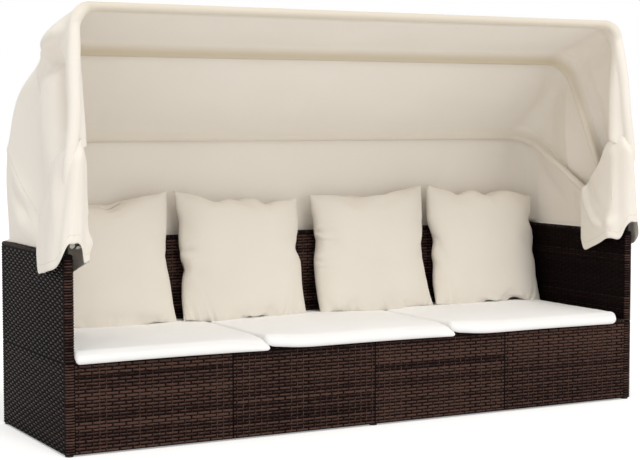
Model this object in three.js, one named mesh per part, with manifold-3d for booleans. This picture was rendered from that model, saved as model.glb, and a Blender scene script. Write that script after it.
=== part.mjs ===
// An outdoor daybed with a folding canopy. Millimetres, +X along the bench, +Y to the back, +Z up.
import * as THREE from 'three';
import { mergeVertices } from 'three/addons/utils/BufferGeometryUtils.js';
import Module from 'manifold-3d';

const wasm = await Module();
wasm.setup();

// Bench sizes
const benchLength = 2000;
const benchDepth = 580;
const armHeight = 570;
const seatHeight = 272;
const panelThickness = 25;
const panelTopRadius = 9;
const panelEdgeRadius = 4;
const weaveThickness = 2.5;
const frontSeamShares = [-0.485, 0, 0.485];
const armSeamHeight = 264;
const seamWidth = 4;
const seamDepth = 1;
const glideHeight = 5;
const glideRadius = 12;
const glideStemRadius = 7;
const glideStemLength = 14;

// Steel frame under the weave
const tubeSide = 18;
const tubeWall = 1.2;
const frameClearance = 1;
const deckThickness = 4;
const deckSlotWidth = 12;
const deckSlotCount = 24;
const deckSlotShare = 0.72;
const seatCrossbarCount = 4;
const boltRadius = 4;
const boltClearance = 0.3;
const boltHeadRadius = 7.5;
const boltHeadHeight = 5.5;
const boltReach = 12;
const boltSpreadShare = 0.62;

// Canopy pivot, on an upright ear above each arm's top tube
const pivotInset = 20;
const pivotRise = 30;
const earThickness = 3;
const earLength = 36;
const earHeadroom = 17;
const earCornerRadius = 12;
const pivotHeadRadius = 8;
const pivotHeadHeight = 3;
const pivotHoleRadius = 4.1;
const washerRadius = 11;
const washerHoleRadius = 4.3;
const splaySlack = 0.5;
const nutRadius = 7;
const nutHeight = 7;

// Canopy bows: angle above the +Y direction, distance of the top bar from the pivot, leg position
const bowRadius = 9.5;
const bowWall = 1.3;
const bowCorner = 80;
const bowStub = 60;
const spigotLength = 40;
const spigotClearance = 0.3;
const legEnd = 15;
const legPitch = 20.5;
const outerLegSpace = 2.3;
const bows = {
  front: { angle: 88.3, reach: 662, place: 2, splay: 19 },
  middle: { angle: 61.7, reach: 619, place: 1, splay: 0 },
  rear: { angle: 27.2, reach: 624, place: 0, splay: 0 },
};

// Canopy cloth
const clothThickness = 1.5;
const sleeveRadius = 12.5;
const sleeveStart = 180;
const clothLift = 16.5;
const clothCorner = 62;
const sideLift = 24;
const panelStart = 165;
const fanDrop = 52;
const frontOverhang = 14;
const hemRise = 1.8;
const hemReach = 7;
const hemInset = 10;
const flareEnd = 450;
const sideBulge = 8;
const shoulderBulge = 14;
const frontFlap = 34;
const panelSeamGap = 2;
const topSag = 13;
const backSag = 6;
const foldDepth = 7;
const smallestCorner = 14;

// Seat cushions and back pillows
const cushionBottomGap = 0.5;
const cushionThickness = 27;
const cushionCrown = 6;
const cushionCorner = 45;
const cushionGap = 2;
const cushionOverhang = 9;
const cushionBackGap = 3;
const cushionEdgeShares = [-0.9959, -0.3754, 0.2954, 0.9682];
const cushionDrawIn = 4;
const pillowSpace = 47.5;
const pillowHeight = 432;
const pillowFrontDepth = 66;
const pillowBackDepth = 44;
const pillowDrawIn = 16;
const pillowCorner = 18;
const pillowSeam = 1.2;
const pillowLean = 7;
const pillowFootInset = 74;
const pillowFootGap = 1;
const pillowCentreShares = [-0.718, -0.241, 0.2718, 0.7436];

// The loose cloth reaches further forward than the bench, so the bench stands this far behind the origin
const benchSetback = 21;

const gap = 0.3;
const overrun = 5;
const roundSides = 16;
const boreSides = 18;
const bowSides = 12;
const sleeveSides = 8;
const bowArcSteps = 5;

const innerX = benchLength / 2 - panelThickness;
const frontY = -benchDepth / 2;
const backY = benchDepth / 2;
const armMiddleX = (benchLength - panelThickness) / 2;
const pivotY = frontY + pivotInset;
const pivotZ = armHeight + pivotRise;
const pivot = new THREE.Vector2(pivotY, pivotZ);
const hemHeight = armHeight + hemRise;
const cushionTop = seatHeight + cushionBottomGap + cushionThickness + cushionCrown;
const pillowWidth = (2 * innerX) / pillowCentreShares.length - pillowSpace;

const looks = {
  weave: { color: '#2b1e1c', roughness: 0.5, metalness: 0 },
  frame: { color: '#2a2725', roughness: 0.45, metalness: 0.6 },
  bow: { color: '#b9b6b0', roughness: 0.35, metalness: 0.8 },
  fixing: { color: '#9d9c99', roughness: 0.3, metalness: 0.9 },
  glide: { color: '#1d1b1a', roughness: 0.6, metalness: 0 },
  cushion: { color: '#f3f0ea', roughness: 0.9, metalness: 0 },
  pillow: { color: '#ddd3c2', roughness: 0.9, metalness: 0 },
  canopy: { color: '#e8dfd0', roughness: 0.9, metalness: 0 },
};

// Geometry helpers

function volumeOf(geometry) {
  const p = geometry.attributes.position;
  const index = geometry.index.array;
  const [a, b, c] = [new THREE.Vector3(), new THREE.Vector3(), new THREE.Vector3()];
  let total = 0;
  for (let i = 0; i < index.length; i += 3) {
    a.fromBufferAttribute(p, index[i]);
    b.fromBufferAttribute(p, index[i + 1]);
    c.fromBufferAttribute(p, index[i + 2]);
    total += a.dot(b.cross(c)) / 6;
  }
  return total;
}

// Welds a geometry and turns its faces outwards.
function closed(geometry) {
  geometry.deleteAttribute('normal');
  geometry.deleteAttribute('uv');
  const welded = mergeVertices(geometry);
  if (volumeOf(welded) < 0) {
    const index = welded.index.array;
    for (let i = 0; i < index.length; i += 3) {
      [index[i], index[i + 1]] = [index[i + 1], index[i]];
    }
  }
  return welded;
}

function solid(geometry) {
  const welded = closed(geometry);
  const vertProperties = new Float32Array(welded.attributes.position.array);
  const triVerts = new Uint32Array(welded.index.array);
  return new wasm.Manifold(new wasm.Mesh({ numProp: 3, vertProperties, triVerts }));
}

function joined(geometries) {
  return geometries.map(solid).reduce((all, next) => all.add(next));
}

function geometryOf(body) {
  const mesh = body.getMesh();
  const geometry = new THREE.BufferGeometry();
  geometry.setAttribute('position', new THREE.BufferAttribute(new Float32Array(mesh.vertProperties), 3));
  geometry.setIndex(new THREE.BufferAttribute(new Uint32Array(mesh.triVerts), 1));
  return geometry;
}

function box(low, high) {
  const geometry = new THREE.BoxGeometry(high[0] - low[0], high[1] - low[1], high[2] - low[2]);
  geometry.translate((low[0] + high[0]) / 2, (low[1] + high[1]) / 2, (low[2] + high[2]) / 2);
  return geometry;
}

function roundedRectangle(low, high, radii, steps = 3) {
  const corners = [
    [low[0], low[1], 180, radii[0]],
    [high[0], low[1], 270, radii[0]],
    [high[0], high[1], 0, radii[1]],
    [low[0], high[1], 90, radii[1]],
  ];
  const points = [];
  for (const [x, y, start, radius] of corners) {
    const centreX = x + (x === low[0] ? radius : -radius);
    const centreY = y + (y === low[1] ? radius : -radius);
    for (let i = 0; i <= (radius ? steps : 0); i += 1) {
      const turn = THREE.MathUtils.degToRad(start + (90 * i) / steps);
      points.push(new THREE.Vector2(centreX + radius * Math.cos(turn), centreY + radius * Math.sin(turn)));
    }
  }
  return points;
}

// A straight prism: the outline lies across the axis and runs from one position on it to another.
function prism(outline, axis, from, to) {
  const geometry = new THREE.ExtrudeGeometry(new THREE.Shape(outline), { depth: to - from, bevelEnabled: false });
  const p = geometry.attributes.position;
  for (let i = 0; i < p.count; i += 1) {
    const [a, b, along] = [p.getX(i), p.getY(i), from + p.getZ(i)];
    if (axis === 'x') p.setXYZ(i, along, a, b);
    if (axis === 'y') p.setXYZ(i, a, along, b);
    if (axis === 'z') p.setXYZ(i, a, b, along);
  }
  return geometry;
}

function circle(a, b, radius, sides = roundSides) {
  const points = [];
  for (let i = 0; i < sides; i += 1) {
    const turn = (2 * Math.PI * i) / sides;
    points.push(new THREE.Vector2(a + radius * Math.cos(turn), b + radius * Math.sin(turn)));
  }
  return points;
}

// A round bar along X, from one X to another.
function rod(y, z, radius, from, to, sides = roundSides) {
  return prism(circle(y, z, radius, sides), 'x', Math.min(from, to), Math.max(from, to));
}

// A thin closed shell under a surface, given as points by row and column.
function shell(pointAt, rows, columns, thickness) {
  const outer = [];
  const inner = [];
  const step = 1e-3;
  for (let i = 0; i <= rows; i += 1) {
    for (let j = 0; j <= columns; j += 1) {
      const [u, v] = [i / rows, j / columns];
      const here = pointAt(u, v);
      const alongU = pointAt(Math.min(u + step, 1), v).sub(pointAt(Math.max(u - step, 0), v));
      const alongV = pointAt(u, Math.min(v + step, 1)).sub(pointAt(u, Math.max(v - step, 0)));
      const normal = alongU.cross(alongV).normalize();
      outer.push(here.x, here.y, here.z);
      here.addScaledVector(normal, thickness);
      inner.push(here.x, here.y, here.z);
    }
  }
  const count = outer.length / 3;
  const at = (i, j) => i * (columns + 1) + j;
  const index = [];
  const quad = (a, b, c, d) => index.push(a, b, c, a, c, d);
  for (let i = 0; i < rows; i += 1) {
    for (let j = 0; j < columns; j += 1) {
      quad(at(i, j), at(i, j + 1), at(i + 1, j + 1), at(i + 1, j));
      quad(count + at(i, j), count + at(i + 1, j), count + at(i + 1, j + 1), count + at(i, j + 1));
    }
  }
  for (let j = 0; j < columns; j += 1) {
    quad(at(0, j + 1), at(0, j), count + at(0, j), count + at(0, j + 1));
    quad(at(rows, j), at(rows, j + 1), count + at(rows, j + 1), count + at(rows, j));
  }
  for (let i = 0; i < rows; i += 1) {
    quad(at(i, 0), at(i + 1, 0), count + at(i + 1, 0), count + at(i, 0));
    quad(at(i + 1, columns), at(i, columns), count + at(i, columns), count + at(i + 1, columns));
  }
  const geometry = new THREE.BufferGeometry();
  geometry.setAttribute('position', new THREE.Float32BufferAttribute([...outer, ...inner], 3));
  geometry.setIndex(index);
  return geometry;
}

// A path that gives back its own list of points, so that a sweep gets exactly these stations.
class StationPath extends THREE.Curve {
  constructor(stations) {
    super();
    this.stations = stations;
  }

  station(u) {
    return Math.round(u * (this.stations.length - 1));
  }

  getPointAt(u) {
    return this.stations[this.station(u)].clone();
  }

  getPoint(u) {
    return this.getPointAt(u);
  }

  getTangentAt(u) {
    const i = this.station(u);
    const last = this.stations.length - 1;
    const before = this.stations[Math.max(i - 1, 0)];
    const after = this.stations[Math.min(i + 1, last)];
    const forward = after.clone().sub(this.stations[i]).normalize();
    const backward = this.stations[i].clone().sub(before).normalize();
    return forward.add(backward).normalize();
  }
}

function pipe(stations, outerRadius, innerRadius, sides) {
  const shape = new THREE.Shape(circle(0, 0, outerRadius, sides));
  shape.holes.push(new THREE.Path(circle(0, 0, innerRadius, sides)));
  const path = new StationPath(stations);
  return new THREE.ExtrudeGeometry(shape, { steps: stations.length - 1, bevelEnabled: false, extrudePath: path });
}

// Woven panels

// A woven skin round a flat panel, open below. The panel is thin along one axis and long along the other.
function wovenSkin(low, high, thinAxis) {
  const section = thinAxis === 'x'
    ? prism(roundedRectangle([low[0], low[2]], [high[0], high[2]], [0, panelTopRadius]), 'y', low[1], high[1])
    : prism(roundedRectangle([low[1], low[2]], [high[1], high[2]], [0, panelTopRadius]), 'x', low[0], high[0]);
  const edge = [panelEdgeRadius, panelEdgeRadius];
  const plan = prism(roundedRectangle([low[0], low[1]], [high[0], high[1]], edge), 'z', low[2], high[2] + overrun);
  const hollowLow = [low[0] + weaveThickness, low[1] + weaveThickness, low[2] - overrun];
  const hollowHigh = [high[0] - weaveThickness, high[1] - weaveThickness, high[2] - weaveThickness];
  return solid(section).intersect(solid(plan)).subtract(solid(box(hollowLow, hollowHigh)));
}

// Square tubes of a panel, welded to a ladder whose hollow stays open at the feet of its uprights.
function tubeLadder(low, high, thinAxis, uprights, rails) {
  const bars = [];
  const hollows = [];
  const half = tubeSide / 2;
  const long = thinAxis === 'x' ? 1 : 0;
  const thin = thinAxis === 'x' ? 0 : 1;
  const middle = (low[thin] + high[thin]) / 2;
  const add = (from, to, inset) => {
    const corners = [[0, 0, from[1]], [0, 0, to[1]]];
    corners[0][long] = from[0];
    corners[1][long] = to[0];
    corners[0][thin] = middle - half + inset;
    corners[1][thin] = middle + half - inset;
    return box(corners[0], corners[1]);
  };
  for (const place of uprights) {
    bars.push(add([place - half, low[2]], [place + half, high[2]], 0));
    const inside = half - tubeWall;
    hollows.push(add([place - inside, low[2] - overrun], [place + inside, high[2] - tubeWall], tubeWall));
  }
  for (const height of rails) {
    const [first, last] = [uprights[0], uprights[uprights.length - 1]];
    bars.push(add([first, height - half], [last, height + half], 0));
    const inside = half - tubeWall;
    hollows.push(add([first, height - inside], [last, height + inside], tubeWall));
  }
  return { body: joined(bars), hollow: joined(hollows) };
}

const seatFrameTop = seatHeight - deckThickness - gap;
const seatFrameMiddle = seatFrameTop - tubeSide / 2;
const seatBoltY = (benchDepth / 2) * boltSpreadShare;

function panelInside(low, high) {
  const inset = weaveThickness + frameClearance;
  return [
    [low[0] + inset, low[1] + inset, low[2] + gap],
    [high[0] - inset, high[1] - inset, high[2] - inset],
  ];
}

function sideSpan(side) {
  const edges = [side * innerX, (side * benchLength) / 2];
  return [Math.min(...edges), Math.max(...edges)];
}

function armSkin(side) {
  const [lowX, highX] = sideSpan(side);
  const low = [lowX, frontY, glideHeight];
  const high = [highX, backY, armHeight];
  const outerFace = (side * benchLength) / 2;
  const seamLow = [outerFace - seamDepth, frontY - overrun, armSeamHeight - seamWidth / 2];
  const seamHigh = [outerFace + seamDepth, backY + overrun, armSeamHeight + seamWidth / 2];
  let body = wovenSkin(low, high, 'x').subtract(solid(box(seamLow, seamHigh)));
  const reach = side * (innerX - overrun);
  const end = side * (innerX + panelThickness / 2);
  for (const y of [-seatBoltY, seatBoltY]) {
    body = body.subtract(solid(rod(y, seatFrameMiddle, boltRadius + boltClearance, reach, end)));
  }
  return body.subtract(solid(pivotEar(side, gap)));
}

// An upright plate that carries a canopy pivot: it stands on the arm's top tube and comes up through the weave.
function pivotEar(side, margin) {
  const outline = roundedRectangle(
    [pivotY - earLength / 2 - margin, armHeight - weaveThickness - tubeSide / 2],
    [pivotY + earLength / 2 + margin, pivotZ + earHeadroom + margin],
    [0, earCornerRadius],
  );
  const faces = [side * armMiddleX - earThickness / 2 - margin, side * armMiddleX + earThickness / 2 + margin];
  return prism(outline, 'x', faces[0], faces[1]);
}

function armFrame(side) {
  const [lowX, highX] = sideSpan(side);
  const [low, high] = panelInside([lowX, frontY, glideHeight], [highX, backY, armHeight]);
  const half = tubeSide / 2;
  const uprights = [low[1] + half, high[1] - half];
  const rails = [low[2] + tubeSide, seatFrameMiddle, high[2] - half];
  const ladder = tubeLadder(low, high, 'x', uprights, rails);
  let body = ladder.body.add(solid(pivotEar(side, 0))).subtract(ladder.hollow);
  const nearX = side * (innerX - overrun);
  for (const y of [-seatBoltY, seatBoltY]) {
    const hole = rod(y, seatFrameMiddle, boltRadius + boltClearance, nearX, side * (innerX + panelThickness / 2));
    body = body.subtract(solid(hole));
  }
  return body.subtract(solid(rod(pivotY, pivotZ, boltRadius + boltClearance, nearX, (side * benchLength) / 2)));
}

function backSkin() {
  const low = [-innerX + gap, backY - panelThickness, glideHeight];
  return wovenSkin(low, [innerX - gap, backY, armHeight], 'y');
}

function backFrame() {
  const [low, high] = panelInside(
    [-innerX + gap, backY - panelThickness, glideHeight],
    [innerX - gap, backY, armHeight],
  );
  const half = tubeSide / 2;
  const uprights = [low[0] + half, low[0] / 2, 0, high[0] / 2, high[0] - half];
  const rails = [low[2] + tubeSide, seatFrameMiddle, high[2] - half];
  const ladder = tubeLadder(low, high, 'y', uprights, rails);
  return ladder.body.subtract(ladder.hollow);
}

function frontSkin() {
  const low = [-innerX + gap, frontY, glideHeight];
  const high = [innerX - gap, frontY + panelThickness, seatHeight];
  let body = wovenSkin(low, high, 'y');
  for (const share of frontSeamShares) {
    const x = (share * benchLength) / 2;
    const seam = box([x - seamWidth / 2, frontY - seamDepth, low[2] - overrun],
      [x + seamWidth / 2, frontY + seamDepth, seatHeight + overrun]);
    body = body.subtract(solid(seam));
  }
  return body;
}

function frontFrame() {
  const [low, high] = panelInside(
    [-innerX + gap, frontY, glideHeight],
    [innerX - gap, frontY + panelThickness, seatHeight],
  );
  const half = tubeSide / 2;
  const seams = frontSeamShares.map((share) => (share * benchLength) / 2);
  const uprights = [low[0] + half, ...seams, high[0] - half];
  const ladder = tubeLadder(low, high, 'y', uprights, [low[2] + tubeSide, high[2] - half]);
  return ladder.body.subtract(ladder.hollow);
}

// Seat

function seatFrame() {
  const low = [-innerX + frameClearance, frontY + panelThickness + frameClearance, seatFrameTop - tubeSide];
  const high = [innerX - frameClearance, backY - panelThickness - frameClearance, seatFrameTop];
  const half = tubeSide / 2;
  const bars = [];
  const hollows = [];
  const addBar = (from, to) => {
    bars.push(box(from, to));
    const inset = (value, sign) => value + sign * tubeWall;
    hollows.push(box(from.map((value) => inset(value, 1)), to.map((value) => inset(value, -1))));
  };
  addBar(low, [high[0], low[1] + tubeSide, high[2]]);
  addBar([low[0], high[1] - tubeSide, low[2]], high);
  const spacing = (high[0] - low[0] - tubeSide) / (seatCrossbarCount + 1);
  for (let i = 0; i <= seatCrossbarCount + 1; i += 1) {
    const x = low[0] + half + i * spacing;
    addBar([x - half, low[1], low[2]], [x + half, high[1], high[2]]);
  }
  let body = joined(bars).subtract(joined(hollows));
  for (const side of [-1, 1]) {
    for (const y of [-seatBoltY, seatBoltY]) {
      const from = side * (innerX + overrun);
      const to = side * (innerX - frameClearance - tubeSide - overrun);
      body = body.subtract(solid(rod(y, seatFrameMiddle, boltRadius + boltClearance, from, to)));
    }
  }
  return body;
}

// A flat deck of woven straps with long slots between them.
function seatDeck() {
  const low = [-innerX + gap, frontY + panelThickness + gap, seatFrameTop + gap];
  const high = [innerX - gap, backY - panelThickness - gap, seatHeight];
  const length = high[0] - low[0];
  const slots = [];
  const reach = ((high[1] - low[1]) * deckSlotShare) / 2;
  for (let i = 0; i < deckSlotCount; i += 1) {
    const x = low[0] + (length * (i + 1)) / (deckSlotCount + 1);
    const half = deckSlotWidth / 2;
    slots.push(box([x - half, -reach, low[2] - overrun], [x + half, reach, high[2] + overrun]));
  }
  return solid(box(low, high)).subtract(joined(slots));
}

function seatBolt(side, y) {
  const head = side * (innerX - frameClearance - tubeSide - gap);
  const headEnd = head - side * boltHeadHeight;
  const tip = side * (innerX + weaveThickness + frameClearance + boltReach);
  const hexagon = rod(y, seatFrameMiddle, boltHeadRadius, headEnd, head, 6);
  return solid(hexagon).add(solid(rod(y, seatFrameMiddle, boltRadius, headEnd, tip)));
}

// A foot glide: a disc on the floor with a stem that goes up into an upright.
function glide(x, y) {
  const disc = prism(circle(x, y, glideRadius), 'z', 0, glideHeight - gap);
  const stem = prism(circle(x, y, glideStemRadius), 'z', glideHeight / 2, glideHeight + glideStemLength);
  return solid(disc).add(solid(stem));
}

// Canopy pivots

const earInnerX = armMiddleX - earThickness / 2;
const legX = (bow) => earInnerX - outerLegSpace - bowRadius - bow.place * legPitch;
const frontLegFace = legX(bows.front) - bowRadius;
const nutFace = frontLegFace - (legPitch - 2 * bowRadius);

function pivotBolt(side) {
  const earFace = side * (armMiddleX + earThickness / 2 + gap);
  const headEnd = earFace + side * pivotHeadHeight;
  const head = rod(pivotY, pivotZ, pivotHeadRadius, earFace, headEnd);
  const shaft = rod(pivotY, pivotZ, boltRadius, headEnd, side * (nutFace - nutHeight / 2), boreSides);
  return solid(head).add(solid(shaft));
}

function capNut(side) {
  const outer = rod(pivotY, pivotZ, nutRadius, side * nutFace, side * (nutFace - nutHeight), 6);
  const bore = rod(pivotY, pivotZ, washerHoleRadius, side * (nutFace + overrun), side * (nutFace - nutHeight * 0.7));
  return solid(outer).subtract(solid(bore));
}

// The washer that lies on the outer side of a bow's leg.
function washer(side, place) {
  const leg = earInnerX - outerLegSpace - place * legPitch;
  const space = place === 0 ? outerLegSpace : legPitch - 2 * bowRadius;
  const slack = gap / 2 + (place === bows.front.place ? splaySlack : 0);
  const from = side * (leg + slack);
  const to = side * (leg + space - gap / 2);
  const ring = solid(rod(pivotY, pivotZ, washerRadius, from, to));
  return ring.subtract(solid(rod(pivotY, pivotZ, washerHoleRadius, from - side * overrun, to + side * overrun)));
}

// Canopy bows

function along(bow, distance, x) {
  const turn = THREE.MathUtils.degToRad(bow.angle);
  return new THREE.Vector3(x, pivotY + distance * Math.cos(turn), pivotZ + distance * Math.sin(turn));
}

// Stations of a bow's centre line, from one leg over the top to the other, starting at a distance from the pivot.
function bowStations(bow, start) {
  const x = legX(bow) + bow.splay;
  const startX = legX(bow) + bow.splay * (start / (bow.reach - bowCorner));
  const stations = [along(bow, start, -startX)];
  for (const side of [-1, 1]) {
    for (let i = 0; i <= bowArcSteps; i += 1) {
      const turn = (Math.PI / 2) * (side < 0 ? i / bowArcSteps : 1 - i / bowArcSteps);
      const distance = bow.reach - bowCorner + bowCorner * Math.sin(turn);
      stations.push(along(bow, distance, side * (x - bowCorner + bowCorner * Math.cos(turn))));
    }
  }
  stations.push(along(bow, start, startX));
  return stations;
}

const bowJoint = (bow) => bow.reach - bowCorner - bowStub;

function bowBar(bow) {
  return pipe(bowStations(bow, bowJoint(bow)), bowRadius, bowRadius - bowWall, bowSides);
}

function bowLeg(bow, side) {
  const spigotRadius = bowRadius - bowWall - spigotClearance;
  const shoulder = bowJoint(bow) - gap;
  const profile = [
    [0, -legEnd],
    [bowRadius - bowWall, -legEnd],
    [bowRadius, -legEnd + bowWall],
    [bowRadius, shoulder],
    [spigotRadius, shoulder],
    [spigotRadius, shoulder + spigotLength],
    [spigotRadius - bowWall, shoulder + spigotLength],
    [spigotRadius - bowWall, -legEnd + 2 * bowWall],
    [0, -legEnd + 2 * bowWall],
  ].map(([r, h]) => new THREE.Vector2(r, h));
  const geometry = new THREE.LatheGeometry(profile, bowSides);
  geometry.rotateZ(-side * Math.atan(bow.splay / (bow.reach - bowCorner)));
  geometry.rotateX(THREE.MathUtils.degToRad(bow.angle));
  geometry.translate(side * legX(bow), pivotY, pivotZ);
  const reach = bowRadius + overrun;
  const bore = rod(pivotY, pivotZ, pivotHoleRadius, side * legX(bow) - reach, side * legX(bow) + reach, boreSides);
  return solid(geometry).subtract(solid(bore));
}

function bowSleeve(bow) {
  return pipe(bowStations(bow, sleeveStart), sleeveRadius, sleeveRadius - clothThickness, sleeveSides);
}

// Canopy cloth

const polar = (angle, length) => new THREE.Vector2(Math.cos(angle), Math.sin(angle)).multiplyScalar(length);

function bowCentre(bow) {
  return polar(THREE.MathUtils.degToRad(bow.angle), bow.reach).add(pivot);
}

// The point of the cloth over a bow, off the bow along the middle of the directions across its two neighbours.
function overBow(bow, before, after) {
  const centre = bowCentre(bow);
  const normalOf = (from, to) => {
    const run = to.clone().sub(from).normalize();
    return new THREE.Vector2(-run.y, run.x);
  };
  const normal = normalOf(before, centre).add(normalOf(centre, after)).normalize();
  return centre.addScaledVector(normal, clothLift);
}

const hemPoint = new THREE.Vector2(backY + hemReach, hemHeight);
const fanCentre = new THREE.Vector2(pivotY, pivotZ - fanDrop);
const frontCentre = bowCentre(bows.front);
const middleCentre = bowCentre(bows.middle);
const rearCentre = bowCentre(bows.rear);
const frontRun = middleCentre.clone().sub(frontCentre).normalize();
const frontTop = frontCentre.clone().add(new THREE.Vector2(-frontRun.y, frontRun.x).multiplyScalar(clothLift));
frontTop.addScaledVector(frontRun, -frontOverhang);
const middleTop = overBow(bows.middle, frontCentre, rearCentre);
const rearTop = overBow(bows.rear, middleCentre, hemPoint.clone().add(new THREE.Vector2(-clothLift, 0)));

const smooth = (from, to, value) => THREE.MathUtils.smoothstep(value, from, to);

// One cloth panel between two lines over the bows: the sides fan out from the pivot, the top lies between them.
// Its first edge can hang forward by a flap at the sides.
function canopyPanel(ends, widths, edges, sag, folds, flap) {
  const [start, finish] = ends;
  const length = start.distanceTo(finish);
  const trim = panelSeamGap / 2 / length;
  const sideShare = 8 / 28;
  const cornerShare = 4 / 28;
  const run = finish.clone().sub(start).normalize();
  const inward = new THREE.Vector2(run.y, -run.x);
  return (u, v) => {
    const t = trim + (1 - 2 * trim) * u;
    const between = Math.sin(Math.PI * t) ** 2;
    const side = v < 0.5 ? -1 : 1;
    const w = v < 0.5 ? v : 1 - v;
    const flat = smooth(sideShare, 0.5, w);
    const depth = THREE.MathUtils.lerp(-shoulderBulge, sag, flat) * between;
    const top = start.clone().lerp(finish, t).addScaledVector(inward, depth);
    const ray = top.sub(fanCentre);
    const reach = ray.length();
    ray.normalize();
    const width = THREE.MathUtils.lerp(widths[0], widths[1], t);
    const edge = THREE.MathUtils.lerp(edges[0], edges[1], t);
    const hem = (hemHeight - fanCentre.y) / Math.max(ray.y, 1e-3);
    const low = Math.min(Math.max(panelStart, hem), reach - smallestCorner);
    const corner = Math.min(clothCorner, reach - low);
    let x = 0;
    let forward = 0;
    let distance = reach;
    if (w < sideShare) {
      const q = w / sideShare;
      distance = low + q * (reach - corner - low);
      const flare = (edge - width) * (1 - smooth(low, Math.max(flareEnd, low + corner), distance));
      const fold = foldDepth * between * Math.sin(2 * Math.PI * folds * t) * Math.sin(Math.PI * q);
      x = width + flare + fold + sideBulge * between * Math.sin(Math.PI * q);
      forward = flap * Math.sin(Math.PI * q) * Math.pow(1 - t, 4);
    } else if (w < sideShare + cornerShare) {
      const turn = ((w - sideShare) / cornerShare) * (Math.PI / 2);
      x = width - corner + corner * Math.cos(turn);
      distance = reach - corner + corner * Math.sin(turn);
    } else {
      x = ((width - corner) * (0.5 - w)) / (0.5 - sideShare - cornerShare);
    }
    return new THREE.Vector3(side * x, fanCentre.x + ray.x * distance - forward, fanCentre.y + ray.y * distance);
  };
}

// The loose cloth at a front corner hangs on both sides of the arm, open to the back. Each row is a place along it:
// out from the arm's outer face, behind the bench's front, and its lower and upper edges above the arm's top.
const drapePlan = [
  [2.2, 192, -62, 30],
  [5, 140, -64, 85],
  [14, 78, -56, 135],
  [27, 26, -25, 180],
  [21, -12, 18, 235],
  [-8, -29, 36, 278],
  [-42, -27, 34, 298],
  [-72, -10, 8, 302],
  [-93, 22, -18, 292],
  [-92, 68, -40, 262],
  [-78, 125, -60, 195],
  [-66, 188, -73, 95],
];

function drape(side) {
  const places = drapePlan.map(([out, behind]) => new THREE.Vector3(benchLength / 2 + out, frontY + behind, 0));
  const plan = new THREE.CatmullRomCurve3(places);
  const ends = new THREE.CatmullRomCurve3(drapePlan.map(([, , low, high], i) => new THREE.Vector3(i, low, high)));
  return (u, v) => {
    const way = side > 0 ? u : 1 - u;
    const place = plan.getPoint(way);
    const heights = ends.getPoint(way);
    const z = armHeight + THREE.MathUtils.lerp(heights.y, heights.z, v);
    return new THREE.Vector3(side * place.x, place.y, z);
  };
}

// Cushions

// A stuffed form from rings of its outline: each ring has a share of the outline and two heights.
function stuffed(outline, rings, centreTop, centreBottom) {
  const positions = [];
  const index = [];
  const count = outline.length;
  const addRing = (share, height) => {
    const first = positions.length / 3;
    for (const point of outline) positions.push(point.x * share, point.y * share, height);
    return first;
  };
  const levels = [];
  for (const [share, top] of rings) levels.push(addRing(share, top));
  for (const [share, , bottom] of rings.slice().reverse()) {
    if (bottom !== null) levels.push(addRing(share, bottom));
  }
  const topCentre = positions.length / 3;
  positions.push(0, 0, centreTop, 0, 0, centreBottom);
  for (let i = 0; i < count; i += 1) {
    const next = (i + 1) % count;
    index.push(topCentre, levels[0] + i, levels[0] + next);
    const last = levels[levels.length - 1];
    index.push(topCentre + 1, last + next, last + i);
    for (let k = 0; k + 1 < levels.length; k += 1) {
      const [a, b] = [levels[k], levels[k + 1]];
      index.push(a + i, b + i, b + next, a + i, b + next, a + next);
    }
  }
  const geometry = new THREE.BufferGeometry();
  geometry.setAttribute('position', new THREE.Float32BufferAttribute(positions, 3));
  geometry.setIndex(index);
  return geometry;
}

// An outline whose sides are drawn in between its corners.
function drawnOutline(width, depth, corner, drawIn, stepsPerSide) {
  const points = [];
  const sides = [[1, -1, 0, 1], [1, 1, -1, 0], [-1, 1, 0, -1], [-1, -1, 1, 0]];
  for (const [sx, sy, dx, dy] of sides) {
    for (let i = 0; i < stepsPerSide; i += 1) {
      const share = i / stepsPerSide;
      const centre = new THREE.Vector2(sx * (width / 2 - corner), sy * (depth / 2 - corner));
      if (share < 0.3) {
        const turn = Math.atan2(sy, sx) - Math.PI / 4 + (share / 0.3) * (Math.PI / 2);
        points.push(centre.add(polar(turn, corner)));
      } else {
        const q = (share - 0.3) / 0.7;
        const run = (dx ? width : depth) - 2 * corner;
        const pull = drawIn * Math.sin(Math.PI * q);
        const outward = new THREE.Vector2(dy, -dx);
        centre.addScaledVector(outward, corner - pull);
        points.push(centre.add(new THREE.Vector2(dx, dy).multiplyScalar(run * q)));
      }
    }
  }
  return points;
}

function seatCushion(index) {
  const left = innerX * cushionEdgeShares[index] + cushionGap / 2;
  const right = innerX * cushionEdgeShares[index + 1] - cushionGap / 2;
  const bottom = seatHeight + cushionBottomGap;
  const middle = bottom + cushionThickness / 2;
  const top = bottom + cushionThickness;
  const front = frontY - cushionOverhang;
  const back = backY - panelThickness - cushionBackGap;
  const outline = drawnOutline(right - left, back - front, cushionCorner, cushionDrawIn, 7);
  const rings = [
    [0.5, top + cushionCrown * 0.8, bottom],
    [0.8, top + cushionCrown * 0.4, bottom],
    [0.94, top, bottom],
    [0.985, top - cushionThickness * 0.22, bottom + cushionThickness * 0.1],
    [1, middle, null],
  ];
  const geometry = stuffed(outline, rings, top + cushionCrown, bottom);
  geometry.translate((left + right) / 2, (front + back) / 2, 0);
  return geometry;
}

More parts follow.
